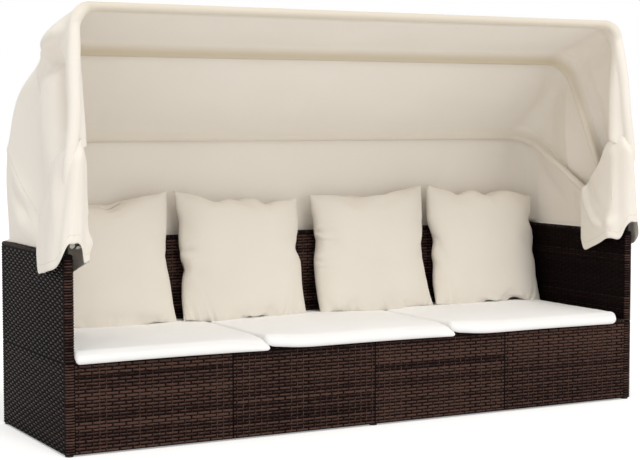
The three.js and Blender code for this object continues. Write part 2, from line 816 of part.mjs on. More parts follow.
function backPillow(index) {
  const outline = drawnOutline(pillowWidth, pillowHeight, pillowCorner, pillowDrawIn, 8);
  const rings = [0.42, 0.72, 0.9].map((share) => {
    const bulge = Math.pow(1 - Math.pow(share, 2.4), 0.62);
    return [share, pillowFrontDepth * bulge, -pillowBackDepth * bulge];
  });
  rings.push([1, pillowSeam, -pillowSeam]);
  const geometry = stuffed(outline, rings, pillowFrontDepth, -pillowBackDepth);
  geometry.translate(0, pillowHeight / 2, 0);
  geometry.rotateX(THREE.MathUtils.degToRad(90 - pillowLean));
  const footY = backY - panelThickness - pillowFootInset;
  geometry.translate(innerX * pillowCentreShares[index], footY, cushionTop + pillowFootGap);
  return geometry;
}

// The whole daybed

const daybed = new THREE.Group();
daybed.name = 'daybed';

function add(name, look, shape) {
  const geometry = shape.isBufferGeometry ? closed(shape) : geometryOf(shape);
  geometry.translate(0, benchSetback, 0);
  geometry.computeVertexNormals();
  const mesh = new THREE.Mesh(geometry, new THREE.MeshStandardMaterial(looks[look]));
  mesh.name = name;
  daybed.add(mesh);
}

const sides = { left: -1, right: 1 };

for (const [name, side] of Object.entries(sides)) {
  add(`${name}_arm_frame`, 'frame', armFrame(side));
  add(`${name}_arm_weave`, 'weave', armSkin(side));
}
add('back_frame', 'frame', backFrame());
add('back_weave', 'weave', backSkin());
add('front_frame', 'frame', frontFrame());
add('front_weave', 'weave', frontSkin());
add('seat_frame', 'frame', seatFrame());
add('seat_deck', 'weave', seatDeck());

for (const [name, side] of Object.entries(sides)) {
  add(`${name}_front_seat_bolt`, 'fixing', seatBolt(side, -seatBoltY));
  add(`${name}_back_seat_bolt`, 'fixing', seatBolt(side, seatBoltY));
  const y = benchDepth / 2 - weaveThickness - frameClearance - tubeSide / 2;
  add(`${name}_front_glide`, 'glide', glide(side * armMiddleX, -y));
  add(`${name}_back_glide`, 'glide', glide(side * armMiddleX, y));
}
const middleGlideY = (benchDepth - panelThickness) / 2;
add('middle_front_glide', 'glide', glide(0, -middleGlideY));
add('middle_back_glide', 'glide', glide(0, middleGlideY));

for (const [name, side] of Object.entries(sides)) {
  add(`${name}_pivot_bolt`, 'fixing', pivotBolt(side));
  add(`${name}_cap_nut`, 'fixing', capNut(side));
  add(`${name}_outer_washer`, 'glide', washer(side, 0));
  add(`${name}_middle_washer`, 'glide', washer(side, 1));
  add(`${name}_inner_washer`, 'glide', washer(side, 2));
}

for (const [name, bow] of Object.entries(bows)) {
  add(`${name}_bow_bar`, 'bow', bowBar(bow));
  add(`${name}_bow_left_leg`, 'bow', bowLeg(bow, -1));
  add(`${name}_bow_right_leg`, 'bow', bowLeg(bow, 1));
  add(`${name}_sleeve`, 'canopy', bowSleeve(bow));
}

const clothX = (bow) => legX(bow) + bow.splay + (bow === bows.front ? clothLift : sideLift);
const wide = benchLength / 2;
const hemX = wide - hemInset;
const frontWidths = [clothX(bows.front), clothX(bows.middle)];
const rearWidths = [clothX(bows.middle), clothX(bows.rear)];
const panels = [
  ['canopy_front_panel', [frontTop, middleTop], frontWidths, [wide, wide], topSag, 2, frontFlap],
  ['canopy_rear_panel', [middleTop, rearTop], rearWidths, [wide, wide], topSag, 2, 0],
  ['canopy_back_panel', [rearTop, hemPoint], [clothX(bows.rear), hemX], [wide, hemX], backSag, 1, 0],
];
for (const [name, ...values] of panels) {
  add(name, 'canopy', shell(canopyPanel(...values), 7, 28, clothThickness));
}
for (const [name, side] of Object.entries(sides)) {
  add(`${name}_drape`, 'canopy', shell(drape(side), 18, 4, clothThickness));
}

['left', 'middle', 'right'].forEach((name, i) => add(`${name}_seat_cushion`, 'cushion', seatCushion(i)));
['left', 'middle_left', 'middle_right', 'right'].forEach((name, i) => add(`${name}_pillow`, 'pillow', backPillow(i)));

export default daybed;
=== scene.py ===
import math
import random

import bmesh
import bpy
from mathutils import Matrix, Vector, noise
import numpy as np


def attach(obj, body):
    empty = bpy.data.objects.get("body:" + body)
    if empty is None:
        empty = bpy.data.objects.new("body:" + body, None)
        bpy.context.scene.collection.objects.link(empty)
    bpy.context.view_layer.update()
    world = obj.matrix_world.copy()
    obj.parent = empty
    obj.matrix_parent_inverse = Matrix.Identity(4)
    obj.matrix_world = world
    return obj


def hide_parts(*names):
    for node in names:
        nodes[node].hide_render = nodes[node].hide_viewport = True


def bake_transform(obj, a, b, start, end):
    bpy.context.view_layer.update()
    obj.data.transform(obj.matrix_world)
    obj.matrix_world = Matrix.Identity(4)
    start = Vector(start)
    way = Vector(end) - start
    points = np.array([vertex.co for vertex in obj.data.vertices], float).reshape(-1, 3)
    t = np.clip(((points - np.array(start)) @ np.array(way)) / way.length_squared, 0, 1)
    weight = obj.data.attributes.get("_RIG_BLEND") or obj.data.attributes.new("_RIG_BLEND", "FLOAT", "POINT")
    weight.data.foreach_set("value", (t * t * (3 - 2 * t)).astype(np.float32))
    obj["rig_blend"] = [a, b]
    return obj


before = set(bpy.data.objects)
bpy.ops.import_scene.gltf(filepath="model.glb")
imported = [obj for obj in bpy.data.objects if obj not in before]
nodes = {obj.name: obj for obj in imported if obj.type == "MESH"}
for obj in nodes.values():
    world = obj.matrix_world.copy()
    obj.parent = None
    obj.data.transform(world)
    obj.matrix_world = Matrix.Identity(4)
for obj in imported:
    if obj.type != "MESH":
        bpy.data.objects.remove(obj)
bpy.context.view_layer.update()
scene = bpy.context.scene


# The picture: a camera on the left of the daybed at sitting height, a white floor and a white surround. It is
# lit by a high window behind the camera, a weak one on the left, a low reflector and an even sky.

def linear(code):
    """An sRGB hex colour as the linear colour that Blender works in."""
    channels = [int(code[i:i + 2], 16) / 255 for i in (1, 3, 5)]
    return [c / 12.92 if c <= 0.04045 else ((c + 0.055) / 1.055) ** 2.4 for c in channels] + [1]


def add_node(tree, kind, inputs=(), **settings):
    """Adds a node with its settings; an input is a value, or the socket that feeds it."""
    made = tree.nodes.new("ShaderNode" + kind)
    for name, value in settings.items():
        setattr(made, name, value)
    for name, value in dict(inputs).items():
        if isinstance(value, bpy.types.NodeSocket):
            tree.links.new(value, made.inputs[name])
        else:
            made.inputs[name].default_value = value
    return made


def new_tree(block):
    """An empty node tree on a material or the world."""
    block.use_nodes = True
    block.node_tree.nodes.clear()
    return block.node_tree


def arithmetic(tree, operation, *values):
    """The result of a Math node on numbers or sockets."""
    return add_node(tree, "Math", enumerate(values), operation=operation).outputs[0]


def object_from(mesh, name):
    """Makes a finished mesh an object of the scene, at the origin."""
    data = bpy.data.meshes.new(name)
    mesh.to_mesh(data)
    mesh.free()
    made = bpy.data.objects.new(name, data)
    scene.collection.objects.link(made)
    return made


camera_data = bpy.data.cameras.new("camera")
camera_data.sensor_width = 36
camera_data.lens = 89.53
camera_data.clip_end = 200
camera = bpy.data.objects.new("camera", camera_data)
camera.location = -2.4718, -4.4727, 0.9434
camera.rotation_euler = math.pi / 2 + math.radians(-3.9569), 0, -math.radians(28.4516)
scene.collection.objects.link(camera)
scene.camera = camera
scene.view_settings.view_transform = "Standard"

sky_strength = 0.62
world = bpy.data.worlds.new("white_surround")
scene.world = world
sky = new_tree(world)
rays = add_node(sky, "LightPath")
seen = arithmetic(sky, "MAXIMUM", rays.outputs["Is Camera Ray"], rays.outputs["Is Glossy Ray"])
seen = arithmetic(sky, "MAXIMUM", seen, rays.outputs["Is Transmission Ray"])
strength = add_node(sky, "Mix", {0: seen, 2: sky_strength, 3: 1.0})
white = add_node(sky, "Background", {"Color": linear("#FFFFFF"), "Strength": strength.outputs[0]})
add_node(sky, "OutputWorld", {"Surface": white.outputs[0]})

lamps = {  # strength, softness, tilt from upright and turn to the right, in degrees
    "high_window": (1.15, 20, 38, -2),
    "left_window": (0.24, 10, 38, -84),
    "low_reflector": (0.30, 30, 80, 10),
}
for name, (strength, softness, tilt, turn) in lamps.items():
    lamp_data = bpy.data.lights.new(name, "SUN")
    lamp_data.energy = strength
    lamp_data.angle = math.radians(softness)
    lamp_data.color = linear("#FFFDF9")[:3]
    lamp = bpy.data.objects.new(name, lamp_data)
    lamp.rotation_euler = math.radians(tilt), 0, math.radians(turn)
    scene.collection.objects.link(lamp)

floor_reach, floor_glow = 40, 0.34
floor_mesh = bmesh.new()
bmesh.ops.create_grid(floor_mesh, x_segments=1, y_segments=1, size=floor_reach)
floor = object_from(floor_mesh, "floor")
floor_paint = bpy.data.materials.new("white_floor_paint")
tree = new_tree(floor_paint)
glow = arithmetic(tree, "MULTIPLY", add_node(tree, "LightPath").outputs["Is Camera Ray"], floor_glow)
matt = add_node(tree, "BsdfDiffuse", {"Color": linear("#F4F3F2")})
light = add_node(tree, "Emission", {"Color": linear("#FFFFFF"), "Strength": glow})
both = add_node(tree, "AddShader", {0: matt.outputs[0], 1: light.outputs[0]})
add_node(tree, "OutputMaterial", {"Surface": both.outputs[0]})
floor.data.materials.append(floor_paint)


# The wicker: flat strands of extruded polyethylene, woven by hand over upright stakes on the frame. Each one
# is its own closed ribbon here: it lies flat over one stake and dips behind the next. The strands come from
# different spools, so that their browns differ a little from row to row.

def new_material(name):
    """A material for the real stuff of that name, as (material, its empty node tree)."""
    made = bpy.data.materials.new(name)
    return made, new_tree(made)


def stretched(tree, place, scale):
    return add_node(tree, "Mapping", {"Vector": place, "Scale": scale}).outputs[0]


def own_place(tree):
    """The object's own coordinates."""
    return add_node(tree, "TexCoord").outputs["Object"]


def clouds(tree, scale, detail=2, place=None):
    """Noise from 0 to 1 over the object's own coordinates, or over others."""
    place = own_place(tree) if place is None else place
    return add_node(tree, "TexNoise", {"Vector": place, "Scale": scale, "Detail": detail}).outputs["Fac"]


def two_tone(tree, share, *colours):
    """A colour between two; each is a hex code or a socket."""
    first, second = (linear(colour) if isinstance(colour, str) else colour for colour in colours)
    return add_node(tree, "Mix", {0: share, 6: first, 7: second}, data_type="RGBA").outputs[2]


def remap(tree, value, old=(0, 1), new=(0, 1)):
    ends = {"From Min": old[0], "From Max": old[1], "To Min": new[0], "To Max": new[1]}
    return add_node(tree, "MapRange", {"Value": value, **ends}).outputs["Result"]


def relief(tree, height, strength, distance):
    """A normal that stands for a fine relief."""
    return add_node(tree, "Bump", {"Height": height, "Strength": strength, "Distance": distance}).outputs[0]


def surface(tree, **inputs):
    """The Principled shader of a material; words in the names of its inputs are joined by an underscore."""
    values = {name.replace("_", " "): value for name, value in inputs.items()}
    shader = add_node(tree, "BsdfPrincipled", values)
    add_node(tree, "OutputMaterial", {"Surface": shader.outputs[0]})


resin, tree = new_material("extruded_polyethylene_strand")
# Semi-gloss plastic with drawn lengthwise lines: soft streaked highlights on every bend
# The tone holds the spools' browns and painted light and shade: upper edges lighter, lower edges darker, the
# arms darker but for their front ends
spool_and_painted_light = add_node(tree, "Attribute", attribute_name="tone").outputs["Fac"]
patch = clouds(tree, 2.0, 3, stretched(tree, own_place(tree), (45, 45, 60)))
shade = arithmetic(tree, "MULTIPLY", spool_and_painted_light, remap(tree, patch, new=(0.26, 0.74)))
brown = add_node(tree, "ValToRGB", {"Fac": shade})
stops = brown.color_ramp.elements
stops.new(0.34)
for stop, (position, code) in zip(stops, ((0.12, "#0D0908"), (0.34, "#231816"), (0.62, "#543F38"))):
    stop.position = position
    stop.color = linear(code)
drawing = clouds(tree, 1.0, 2, stretched(tree, own_place(tree), (30, 30, 1400)))
surface(tree, Base_Color=brown.outputs[0], Roughness=0.14, IOR=1.5, Specular_IOR_Level=0.016,
        Normal=relief(tree, drawing, 0.35, 0.0004))

core, tree = new_material("shaded_polyethylene_strand")
# The inside of the weave: the same plastic, painted near black for the shade between the strands
dark = two_tone(tree, clouds(tree, 160.0), "#0B0807", "#120D0C")
surface(tree, Base_Color=dark, Roughness=0.6, IOR=1.5, Specular_IOR_Level=0.04)


def finish_with(name, material):
    """Gives a CAD node a material, and leaves its shape."""
    nodes[name].data.materials.clear()
    nodes[name].data.materials.append(material)


def piece_from(mesh, name, material, body):
    """Makes a finished mesh a piece with a material and a slot; it rides on a body, if one is given."""
    made = object_from(mesh, name)
    for polygon in made.data.polygons:
        polygon.use_smooth = True
    made.data.materials.append(material)
    if body:
        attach(made, body)
    return made


def clamp(value):
    return min(max(value, 0), 1)


def smooth(low, high, value):
    t = clamp((value - low) / (high - low))
    return t * t * (3 - 2 * t)


def mix(a, b, t):
    return a + (b - a) * t


def within(ends, value):
    """1 in the middle of a range, easing in over the first two of its four ends and out over the last two."""
    return smooth(ends[0], ends[1], value) * (1 - smooth(ends[2], ends[3], value))


def grid_points(mesh, columns, rows):
    """The points of a new grid, each with its column and row."""
    for point in bmesh.ops.create_grid(mesh, x_segments=columns, y_segments=rows, size=1)["verts"]:
        yield point, round((point.co.x + 1) / 2 * columns), round((point.co.y + 1) / 2 * rows)


strand_dip, strand_rise = 0.0004, 0.0021
strand_edge, strand_back = -0.0015, -0.0011
# Each share paints light into the strand's section: its upper edge lighter, its lower edge and back darker,
# as light falls from above
strand_section = [  # place across, height, share of the strand's tone; it goes once round
    (-0.5, strand_edge, 0.5), (-0.36, 0, 0.62), (0.36, 0, 1.32), (0.5, strand_edge, 0.9),
    (0, strand_back, 0.5),
]
strand_cover = 0.82
stake_width, stake_pitch = 0.006, 0.020
stake_over, stake_under = 0.8 * strand_rise, 0.0002
# Where a strand bends at a stake that it passes behind; the least distances from its ends and between bends
dip_profile = [(-0.0062, strand_rise), (-0.0030, strand_dip), (0.0030, strand_dip), (0.0062, strand_rise)]
free_end, least_step = 0.004, 0.001
new_spool = 0.3


def strand(mesh, stations, width, place_of, tone):
    """A flat ribbon along stations of (distance, height above the panel); its section is a low arch."""
    layer = mesh.verts.layers.float["tone"]
    for point, column, row in grid_points(mesh, len(stations) - 1, len(strand_section)):
        distance, height = stations[column]
        across, drop, lit = strand_section[row % len(strand_section)]
        point.co = place_of(distance, across * width, height + drop)
        point[layer] = (tone(distance) if callable(tone) else tone) * lit


def woven_stations(start, end, stakes, parity, bends):
    """Where a strand bends: it dips behind every second stake and lies flat over the others."""
    stations = [(start, strand_dip)]
    for s in stakes[parity::2]:
        if not start + free_end < s < end - free_end:
            continue
        for offset, height in dip_profile:
            if stations[-1][0] + least_step < s + offset < end - least_step:
                stations.append((s + offset, height))
    stations += [(s, strand_rise) for s in bends if start < s < end]
    stations.append((end, strand_dip))
    return sorted(stations)


def woven_face(mesh, start, end, low, high, row_pitch, place_of, rng, stakes=None, bends=(), tone=1.0,
               end_painted_light=1.0, end_reach=0.0):
    """Fills a face with strands from start to end and between two heights, and with their stakes."""
    rows = max(1, round((high - low) / row_pitch))
    pitch = (high - low) / rows
    if stakes is None:
        count = max(2, round((end - start) / stake_pitch))
        stakes = [start + (i + 0.5) * (end - start) / count for i in range(count)]
    spool_tone = tone * rng.uniform(0.9, 1.1)
    for row in range(rows):
        if rng.random() < new_spool:
            spool_tone = tone * rng.uniform(0.8, 1.25)
        z = low + (row + 0.5) * pitch
        stations = woven_stations(start, end, stakes, row % 2, bends)
        strand_tone = spool_tone * rng.uniform(0.8, 1.2)
        strand(mesh, stations, pitch * strand_cover, lambda s, across, out: place_of(s, z + across, out),
               lambda s: strand_tone * (end_painted_light if abs(s) < end_reach else 1))
    for i, s in enumerate(stakes):
        stations = [(low, stake_under)]
        for row in range(rows):
            stations.append((low + (row + 0.5) * pitch, stake_under if (i + row) % 2 else stake_over))
        stations.append((high, stake_under))
        strand(mesh, stations, stake_width, lambda z, across, out: place_of(s + across, z, out),
               tone * rng.uniform(0.6, 1.1))


# The front apron: one frame with four woven fields between upright seams. Each field is closed by its own end
# stakes, and the top edge is wound with strand.

front_y, back_y = -0.269, 0.311
inner_x, outer_x = 0.975, 1.0
panel_depth = 0.025
ground_gap = 0.005
seat_height, arm_height = 0.272, 0.570
rim_height, rim_radius = 0.014, 0.009
rim_pitch, rim_strand_width, rim_strand_rise = 0.0075, 0.0062, 0.0009
rim_steps = 8
wide_row_pitch = 0.0100
seam_half = 0.0022
front_seams = [-inner_x, -0.485, 0, 0.485, inner_x]
field_gap, rim_gap, inner_field_gap = 0.001, 0.002, 0.003        # free space at the ends of a panel


def rim(mesh, start, end, faces, top, rng, along_y=False):
    """Strand wound round the rounded top of a panel between two faces, which runs along x or along y."""
    middle, half = sum(faces) / 2, (faces[1] - faces[0]) / 2

    def place_of(s, turn, out):
        angle = math.pi * (1 - turn)
        flat = math.copysign(half - rim_radius, math.cos(angle)) * min(1, abs(math.cos(angle)) * 3)
        across = middle + math.cos(angle) * (rim_radius + out) + flat
        z = top - rim_radius + math.sin(angle) * (rim_radius + out)
        return Vector((across, s, z) if along_y else (s, across, z))

    turns = round((end - start) / rim_pitch)
    stations = [(step / rim_steps, rim_strand_rise) for step in range(rim_steps + 1)]
    for i in range(turns):
        s = start + (i + 0.5) * (end - start) / turns
        strand(mesh, stations, rim_strand_width, lambda turn, across, out: place_of(s + across, turn, out),
               rng.uniform(0.5, 1.1))


def new_weave():
    mesh = bmesh.new()
    mesh.verts.layers.float.new("tone")
    return mesh


def woven_piece(mesh, name, *panels):
    """Makes strands a piece of the bench; CAD panels under them get the weave's painted shade."""
    bmesh.ops.recalc_face_normals(mesh, faces=mesh.faces)
    piece_from(mesh, name, resin, "bench")
    for panel in panels:
        finish_with(panel, core)


apron = new_weave()
rng = random.Random(11)
for left, right in zip(front_seams, front_seams[1:]):
    woven_face(apron, left + seam_half, right - seam_half, ground_gap, seat_height - rim_height,
               wide_row_pitch, lambda s, z, out: Vector((s, front_y - out, z)), rng)
rim(apron, -inner_x, inner_x, (front_y, front_y + panel_depth), seat_height, rng)
woven_piece(apron, "front_apron_strands", "front_weave")


# The two arms: the strands of each row run along the outer face, round the front end and back along the inner
# face, which shows only above the seat. The outer face has a level seam at seat height.

arm_row_pitch = 0.0080
arm_seam = 0.264
wrap_half = 0.022
# Painted shade: the arms' strands are darker than the apron's, for the shade on their sides; round the front
# end they are painted lighter again
arm_painted_shade, end_painted_light = 0.46, 1.9
back_clear = 0.026
end_radius = 0.004
end_bend = end_radius * math.pi / 2
half_end = (outer_x - inner_x - 2 * end_radius) / 2
bend_reach = half_end + end_bend
outer_run = back_y - front_y - end_radius + end_bend + half_end - field_gap
inner_run = outer_run - back_clear
end_bends = [way * (half_end + share * end_bend) for way in (-1, 1) for share in (0, 0.5, 1)] + [0]


def arm_place(side):
    """Points of an arm by distance from the middle of its front end: below 0 outside, above 0 inside."""
    middle = (inner_x + outer_x) / 2

    def place_of(s, z, out):
        span, way = abs(s), 1 if s > 0 else -1
        if span <= half_end:
            x, y = middle - s, front_y - out
        elif span <= bend_reach:
            angle = (span - half_end) / end_radius
            reach = end_radius + out
            x = middle - way * (half_end + reach * math.sin(angle))
            y = front_y + end_radius - reach * math.cos(angle)
        else:
            x = middle - way * (half_end + end_radius + out)
            y = front_y + end_radius + span - half_end - end_bend
        return Vector((side * x, y, z))

    return place_of


def arm_stakes(inner_reach):
    """Stakes on both sides of the wrapped front end; none inside when the reach there is 0."""
    outer = [-(wrap_half + i * stake_pitch) for i in range(int((outer_run - wrap_half) / stake_pitch))]
    inner = [wrap_half + i * stake_pitch for i in range(int((inner_reach - wrap_half) / stake_pitch) + 1)]
    return outer[::-1] + inner


arm_fields = [  # lower and upper edge, reach of the stakes inside
    (ground_gap, arm_seam - seam_half, 0), (arm_seam + seam_half, arm_height - rim_height, inner_run),
]
for side_name, side in (("left", -1), ("right", 1)):
    arm = new_weave()
    rng = random.Random(23 + side)
    for low, high, reach in arm_fields:
        woven_face(arm, -outer_run, max(reach, bend_reach), low, high, arm_row_pitch, arm_place(side), rng,
                   arm_stakes(reach), end_bends, arm_painted_shade, end_painted_light, bend_reach)
    faces = sorted((side * inner_x, side * outer_x))
    rim(arm, front_y + rim_gap, back_y - rim_gap, faces, arm_height, rng, along_y=True)
    woven_piece(arm, f"{side_name}_arm_strands", f"{side_name}_arm_weave")


# The back: a woven panel between the arms. Its inner face shows only above the seat, between the pillows.
# The seat deck under the cushions gets the same painted shade as the weave's inside.

seat_gap = 0.004
back_outer, back_inner = new_weave(), new_weave()
rng = random.Random(37)
woven_face(back_outer, -inner_x + field_gap, inner_x - field_gap, ground_gap, arm_height - rim_height,
           wide_row_pitch, lambda s, z, out: Vector((s, back_y + out, z)), rng)
woven_piece(back_outer, "back_outer_strands")
woven_face(back_inner, -inner_x + inner_field_gap, inner_x - inner_field_gap, seat_height + seat_gap,
           arm_height - rim_height, wide_row_pitch,
           lambda s, z, out: Vector((s, back_y - panel_depth - out, z)), rng)
rim(back_inner, -inner_x + rim_gap, inner_x - rim_gap, (back_y - panel_depth, back_y), arm_height, rng)
woven_piece(back_inner, "back_inner_strands", "back_weave", "seat_deck")


# The frames inside the panels: welded square steel tube, powder coated dark brown. They are hidden but for
# the ears that carry the pivots.

coated, tree = new_material("powder_coated_steel")
# A thin baked coat: satin, with the fine orange peel of melted powder
coat = two_tone(tree, clouds(tree, 14.0), "#2A2725", "#34302D")
peel = relief(tree, clouds(tree, 900.0), 0.25, 0.0003)
surface(tree, Base_Color=coat, Roughness=0.42, IOR=1.5, Normal=peel)
for name in ("left_arm_frame", "right_arm_frame", "back_frame", "front_frame", "seat_frame"):
    finish_with(name, coated)


# The three bows: round steel tube, bent at the corners. Each has two legs that are pushed on by spigots and
# turn on the bolts in the ears.

tube, tree = new_material("galvanised_steel_tube")
# Zinc from the tube mill: dull silver with a cloudy spangle
spangle = add_node(tree, "TexVoronoi", {"Vector": own_place(tree), "Scale": 160.0}).outputs["Distance"]
surface(tree, Base_Color=two_tone(tree, spangle, "#B4B2AE", "#C9C8C4"), Metallic=1.0,
        Roughness=remap(tree, spangle, new=(0.34, 0.46)))
for bow_name in ("front", "middle", "rear"):
    for part in ("bar", "left_leg", "right_leg"):
        finish_with(f"{bow_name}_bow_{part}", tube)


# Bolts and cap nuts: black zinc-plated steel. Washers and foot glides: moulded polyamide.
# All of them keep their CAD shape.

zinc, tree = new_material("zinc_plated_steel")
# Black-passivated plating with fine turning marks
turned = remap(tree, clouds(tree, 1200.0), new=(0.45, 0.6))
surface(tree, Base_Color=linear("#1A1918"), Metallic=1.0, Roughness=turned)
nylon, tree = new_material("moulded_polyamide")
# Black with a matt spark-eroded grain
sparked = relief(tree, clouds(tree, 1500.0), 0.3, 0.0002)
surface(tree, Base_Color=linear("#1B1A19"), Roughness=0.55, IOR=1.53, Normal=sparked)
for name in nodes:
    if name.endswith(("bolt", "nut")):
        finish_with(name, zinc)
    if name.endswith(("washer", "glide")):
        finish_with(name, nylon)


# The canopy cloth: a plain-woven polyester of about 180 g per square metre, in cream. Each section between
# two bows is cut in one width, hems folded twice and sewn. The threads are drawn 2 mm wide, coarser than
# real, so that they show.

thread_width = 0.002
seam_place, stitch_pitch = 0.024, 0.008
wave_scale = 0.159       # a ridge and a groove to two units


def plain_weave(tree, place, weft_axis):
    """The height of crossing threads, each one unit of the place wide."""
    waves = [add_node(tree, "TexWave", {"Vector": place, "Scale": wave_scale}, bands_direction=axis)
             for axis in ("X", weft_axis)]
    return arithmetic(tree, "ADD", *(wave.outputs["Fac"] for wave in waves))


canvas, tree = new_material("woven_polyester_canopy")
# A dry matt cloth with a soft nap; where a tunnel lies over a bow, and in the front roll, it is double, and a
# painted shade darkens it there
cut_place = add_node(tree, "UVMap", uv_map="cut").outputs[0]
counted = stretched(tree, cut_place, (1 / thread_width, 1 / thread_width, 1))
nap = arithmetic(tree, "ADD", plain_weave(tree, counted, "Y"), clouds(tree, 0.05, 3, counted))
hem_distance = add_node(tree, "Attribute", attribute_name="hem").outputs["Fac"]
from_seam = arithmetic(tree, "ABSOLUTE", arithmetic(tree, "SUBTRACT", hem_distance, seam_place))
on_seam = remap(tree, from_seam, old=(0.0008, 0.0020), new=(1, 0))
along_seam = add_node(tree, "SeparateXYZ", {0: cut_place}).outputs["X"]
stitched = remap(tree, arithmetic(tree, "PINGPONG", along_seam, stitch_pitch), old=(0.0012, 0.0024))
cream = two_tone(tree, clouds(tree, 3.0), "#F1E9DD", "#F6F0E7")
cream = two_tone(tree, arithmetic(tree, "MULTIPLY", on_seam, stitched), cream, "#E6DDCE")
painted_shade = add_node(tree, "Attribute", attribute_name="painted_shade").outputs["Fac"]
# Painted shade: the double cloth and the creases by the bows take this darker tan, for the light that comes
# through one layer and not through two
surface(tree, Base_Color=two_tone(tree, painted_shade, cream, "#CBBC9F"), Roughness=0.85, Sheen_Weight=0.2,
        Sheen_Roughness=0.5, Normal=relief(tree, nap, 0.22, 0.0004))

pivot_y, pivot_z = -0.249, 0.600
bows = {
    "front": {"angle": math.radians(88.3), "reach": 0.662, "leg": 0.9332, "splay": 0.019},
    "middle": {"angle": math.radians(61.7), "reach": 0.619, "leg": 0.9537, "splay": 0},
    "rear": {"angle": math.radians(27.2), "reach": 0.624, "leg": 0.9742, "splay": 0},
}
bow_corner, bow_radius = 0.080, 0.0095
cloth_thickness = 0.0015
cloth_lift, roll_lift, side_lift = 0.0165, 0.0117, 0.024
smallest_corner = 0.014
fan_y, fan_z = pivot_y, pivot_z - 0.052
hem_y, hem_z, hem_x = 0.318, 0.5718, 0.990
arm_side = 1.0
flare_end = 0.450
side_share, corner_share = 8 / 28, 4 / 28


def on_ray(angle, reach):
    """The place (y, z) at a reach from the pivots."""
    return pivot_y + reach * math.cos(angle), pivot_z + reach * math.sin(angle)


def left_of(direction):
    return Vector((-direction.y, direction.x)).normalized()


front_top, middle_top, rear_top = (Vector(on_ray(bow["angle"], bow["reach"])) for bow in bows.values())
hem_point = Vector((hem_y, hem_z))
front_edge = front_top + left_of(middle_top - front_top) * roll_lift
over_middle = left_of(middle_top - front_top) + left_of(rear_top - middle_top)
over_middle = middle_top + over_middle.normalized() * cloth_lift
over_rear = left_of(rear_top - middle_top) + left_of(hem_point - Vector((cloth_lift, 0)) - rear_top)
over_rear = rear_top + over_rear.normalized() * cloth_lift

# Folds of each side's cloth, as lines in the side's own plane that run down: points (y, z), breadth in front
# and behind, and height outwards
side_folds = {
    -1: [
        ([(-0.225, 1.215), (-0.17, 1.180), (-0.11, 1.158), (-0.04, 1.140)], 0.014, 0.052, 0.036),
        ([(-0.03, 1.095), (-0.09, 1.105), (-0.14, 1.108), (-0.170, 1.085), (-0.180, 1.03), (-0.190, 0.96),
          (-0.200, 0.88)], 0.030, 0.032, -0.052),
        ([(-0.11, 1.11), (-0.07, 1.07), (-0.058, 1.015), (-0.081, 0.915), (-0.113, 0.815), (-0.128, 0.745)],
         0.060, 0.018, 0.017),
        ([(0.00, 0.95), (-0.035, 0.86), (-0.07, 0.79), (-0.095, 0.735)], 0.030, 0.070, -0.011),
        ([(0.21, 0.81), (0.10, 0.745), (-0.01, 0.690)], 0.026, 0.014, 0.010),
        ([(0.215, 0.775), (0.10, 0.705), (-0.01, 0.645)], 0.012, 0.022, -0.012),
        ([(0.10, 0.66), (0.06, 0.62), (0.04, 0.59)], 0.030, 0.020, 0.005),
    ],
    1: [
        ([(-0.19, 1.20), (-0.13, 1.175), (-0.06, 1.140)], 0.034, 0.030, 0.012),
        ([(-0.02, 1.12), (-0.085, 1.00), (-0.15, 0.87)], 0.030, 0.016, 0.018),
        ([(0.070, 1.13), (0.068, 0.95), (0.060, 0.70)], 0.060, 0.011, -0.012),
        ([(0.16, 1.03), (0.18, 0.92), (0.17, 0.80)], 0.050, 0.030, 0.011),
        ([(0.26, 0.80), (0.20, 0.72), (0.12, 0.645)], 0.020, 0.030, 0.011),
        ([(-0.05, 0.93), (-0.10, 0.82), (-0.14, 0.74)], 0.018, 0.026, -0.010),
    ],
}
fold_ends = (0.04, 0.96)
deepest_fold = 0.0125
leg_clear, dip_slope = 0.035, 0.9        # further from a leg than this, a fold may be deeper
# Near the front edge folds die out above these heights
tidy_edge, tidy_low, tidy_high = 0.06, 1.10, 1.17
strip_breadth, strip_low, strip_high = 0.030, 0.70, 0.84
ripple_height, ripple_fade = 0.0022, 0.08


def fold_height(y, z, folds):
    """How far the folds lift the cloth at a place; each dies out at its two ends."""
    total = 0
    for line, before, behind, height in folds:
        best = (math.inf, 0, 0)
        lengths = [math.dist(a, b) for a, b in zip(line, line[1:])]
        passed = 0
        for a, b, length in zip(line, line[1:], lengths):
            run = ((b[0] - a[0]) / length, (b[1] - a[1]) / length)
            share = clamp(((y - a[0]) * run[0] + (z - a[1]) * run[1]) / length)
            off = (y - a[0] - run[0] * share * length, z - a[1] - run[1] * share * length)
            distance, turn = math.hypot(*off), off[0] * run[1] - off[1] * run[0]
            if distance < best[0]:
                best = (distance, turn, (passed + share * length) / sum(lengths))
            passed += length
        distance, turn, share = best
        breadth = before if turn > 0 else behind
        ease = math.sin(math.pi * min(max(share, fold_ends[0]), fold_ends[1])) ** 0.6
        total += height * math.exp(-(distance / breadth) ** 2) * ease
    return total


sections = {
    "front": {"ends": (front_edge, over_middle), "bows": ("front", "middle"), "edges": (arm_side, arm_side),
              "corners": (0.066, 0.070, 0.098), "billow": 0.016, "puff": 0.010,
              "sag": 0.010, "flap": 0.026, "strip": 0.015, "lead": 0.013},
    "rear": {"ends": (over_middle, over_rear), "bows": ("middle", "rear"), "edges": (arm_side, arm_side),
             "corners": (0.098, 0.060, 0.100), "billow": 0.024, "puff": -0.004,
             "sag": 0.020, "flap": 0, "strip": 0, "lead": 0},
    "back": {"ends": (over_rear, hem_point), "bows": ("rear", None), "edges": (arm_side, hem_x),
             "corners": (0.100, 0.080, 0.070), "billow": 0.012, "puff": 0.026,
             "sag": 0.006, "flap": 0, "strip": 0, "lead": 0},
}
cloth_low = 0.13


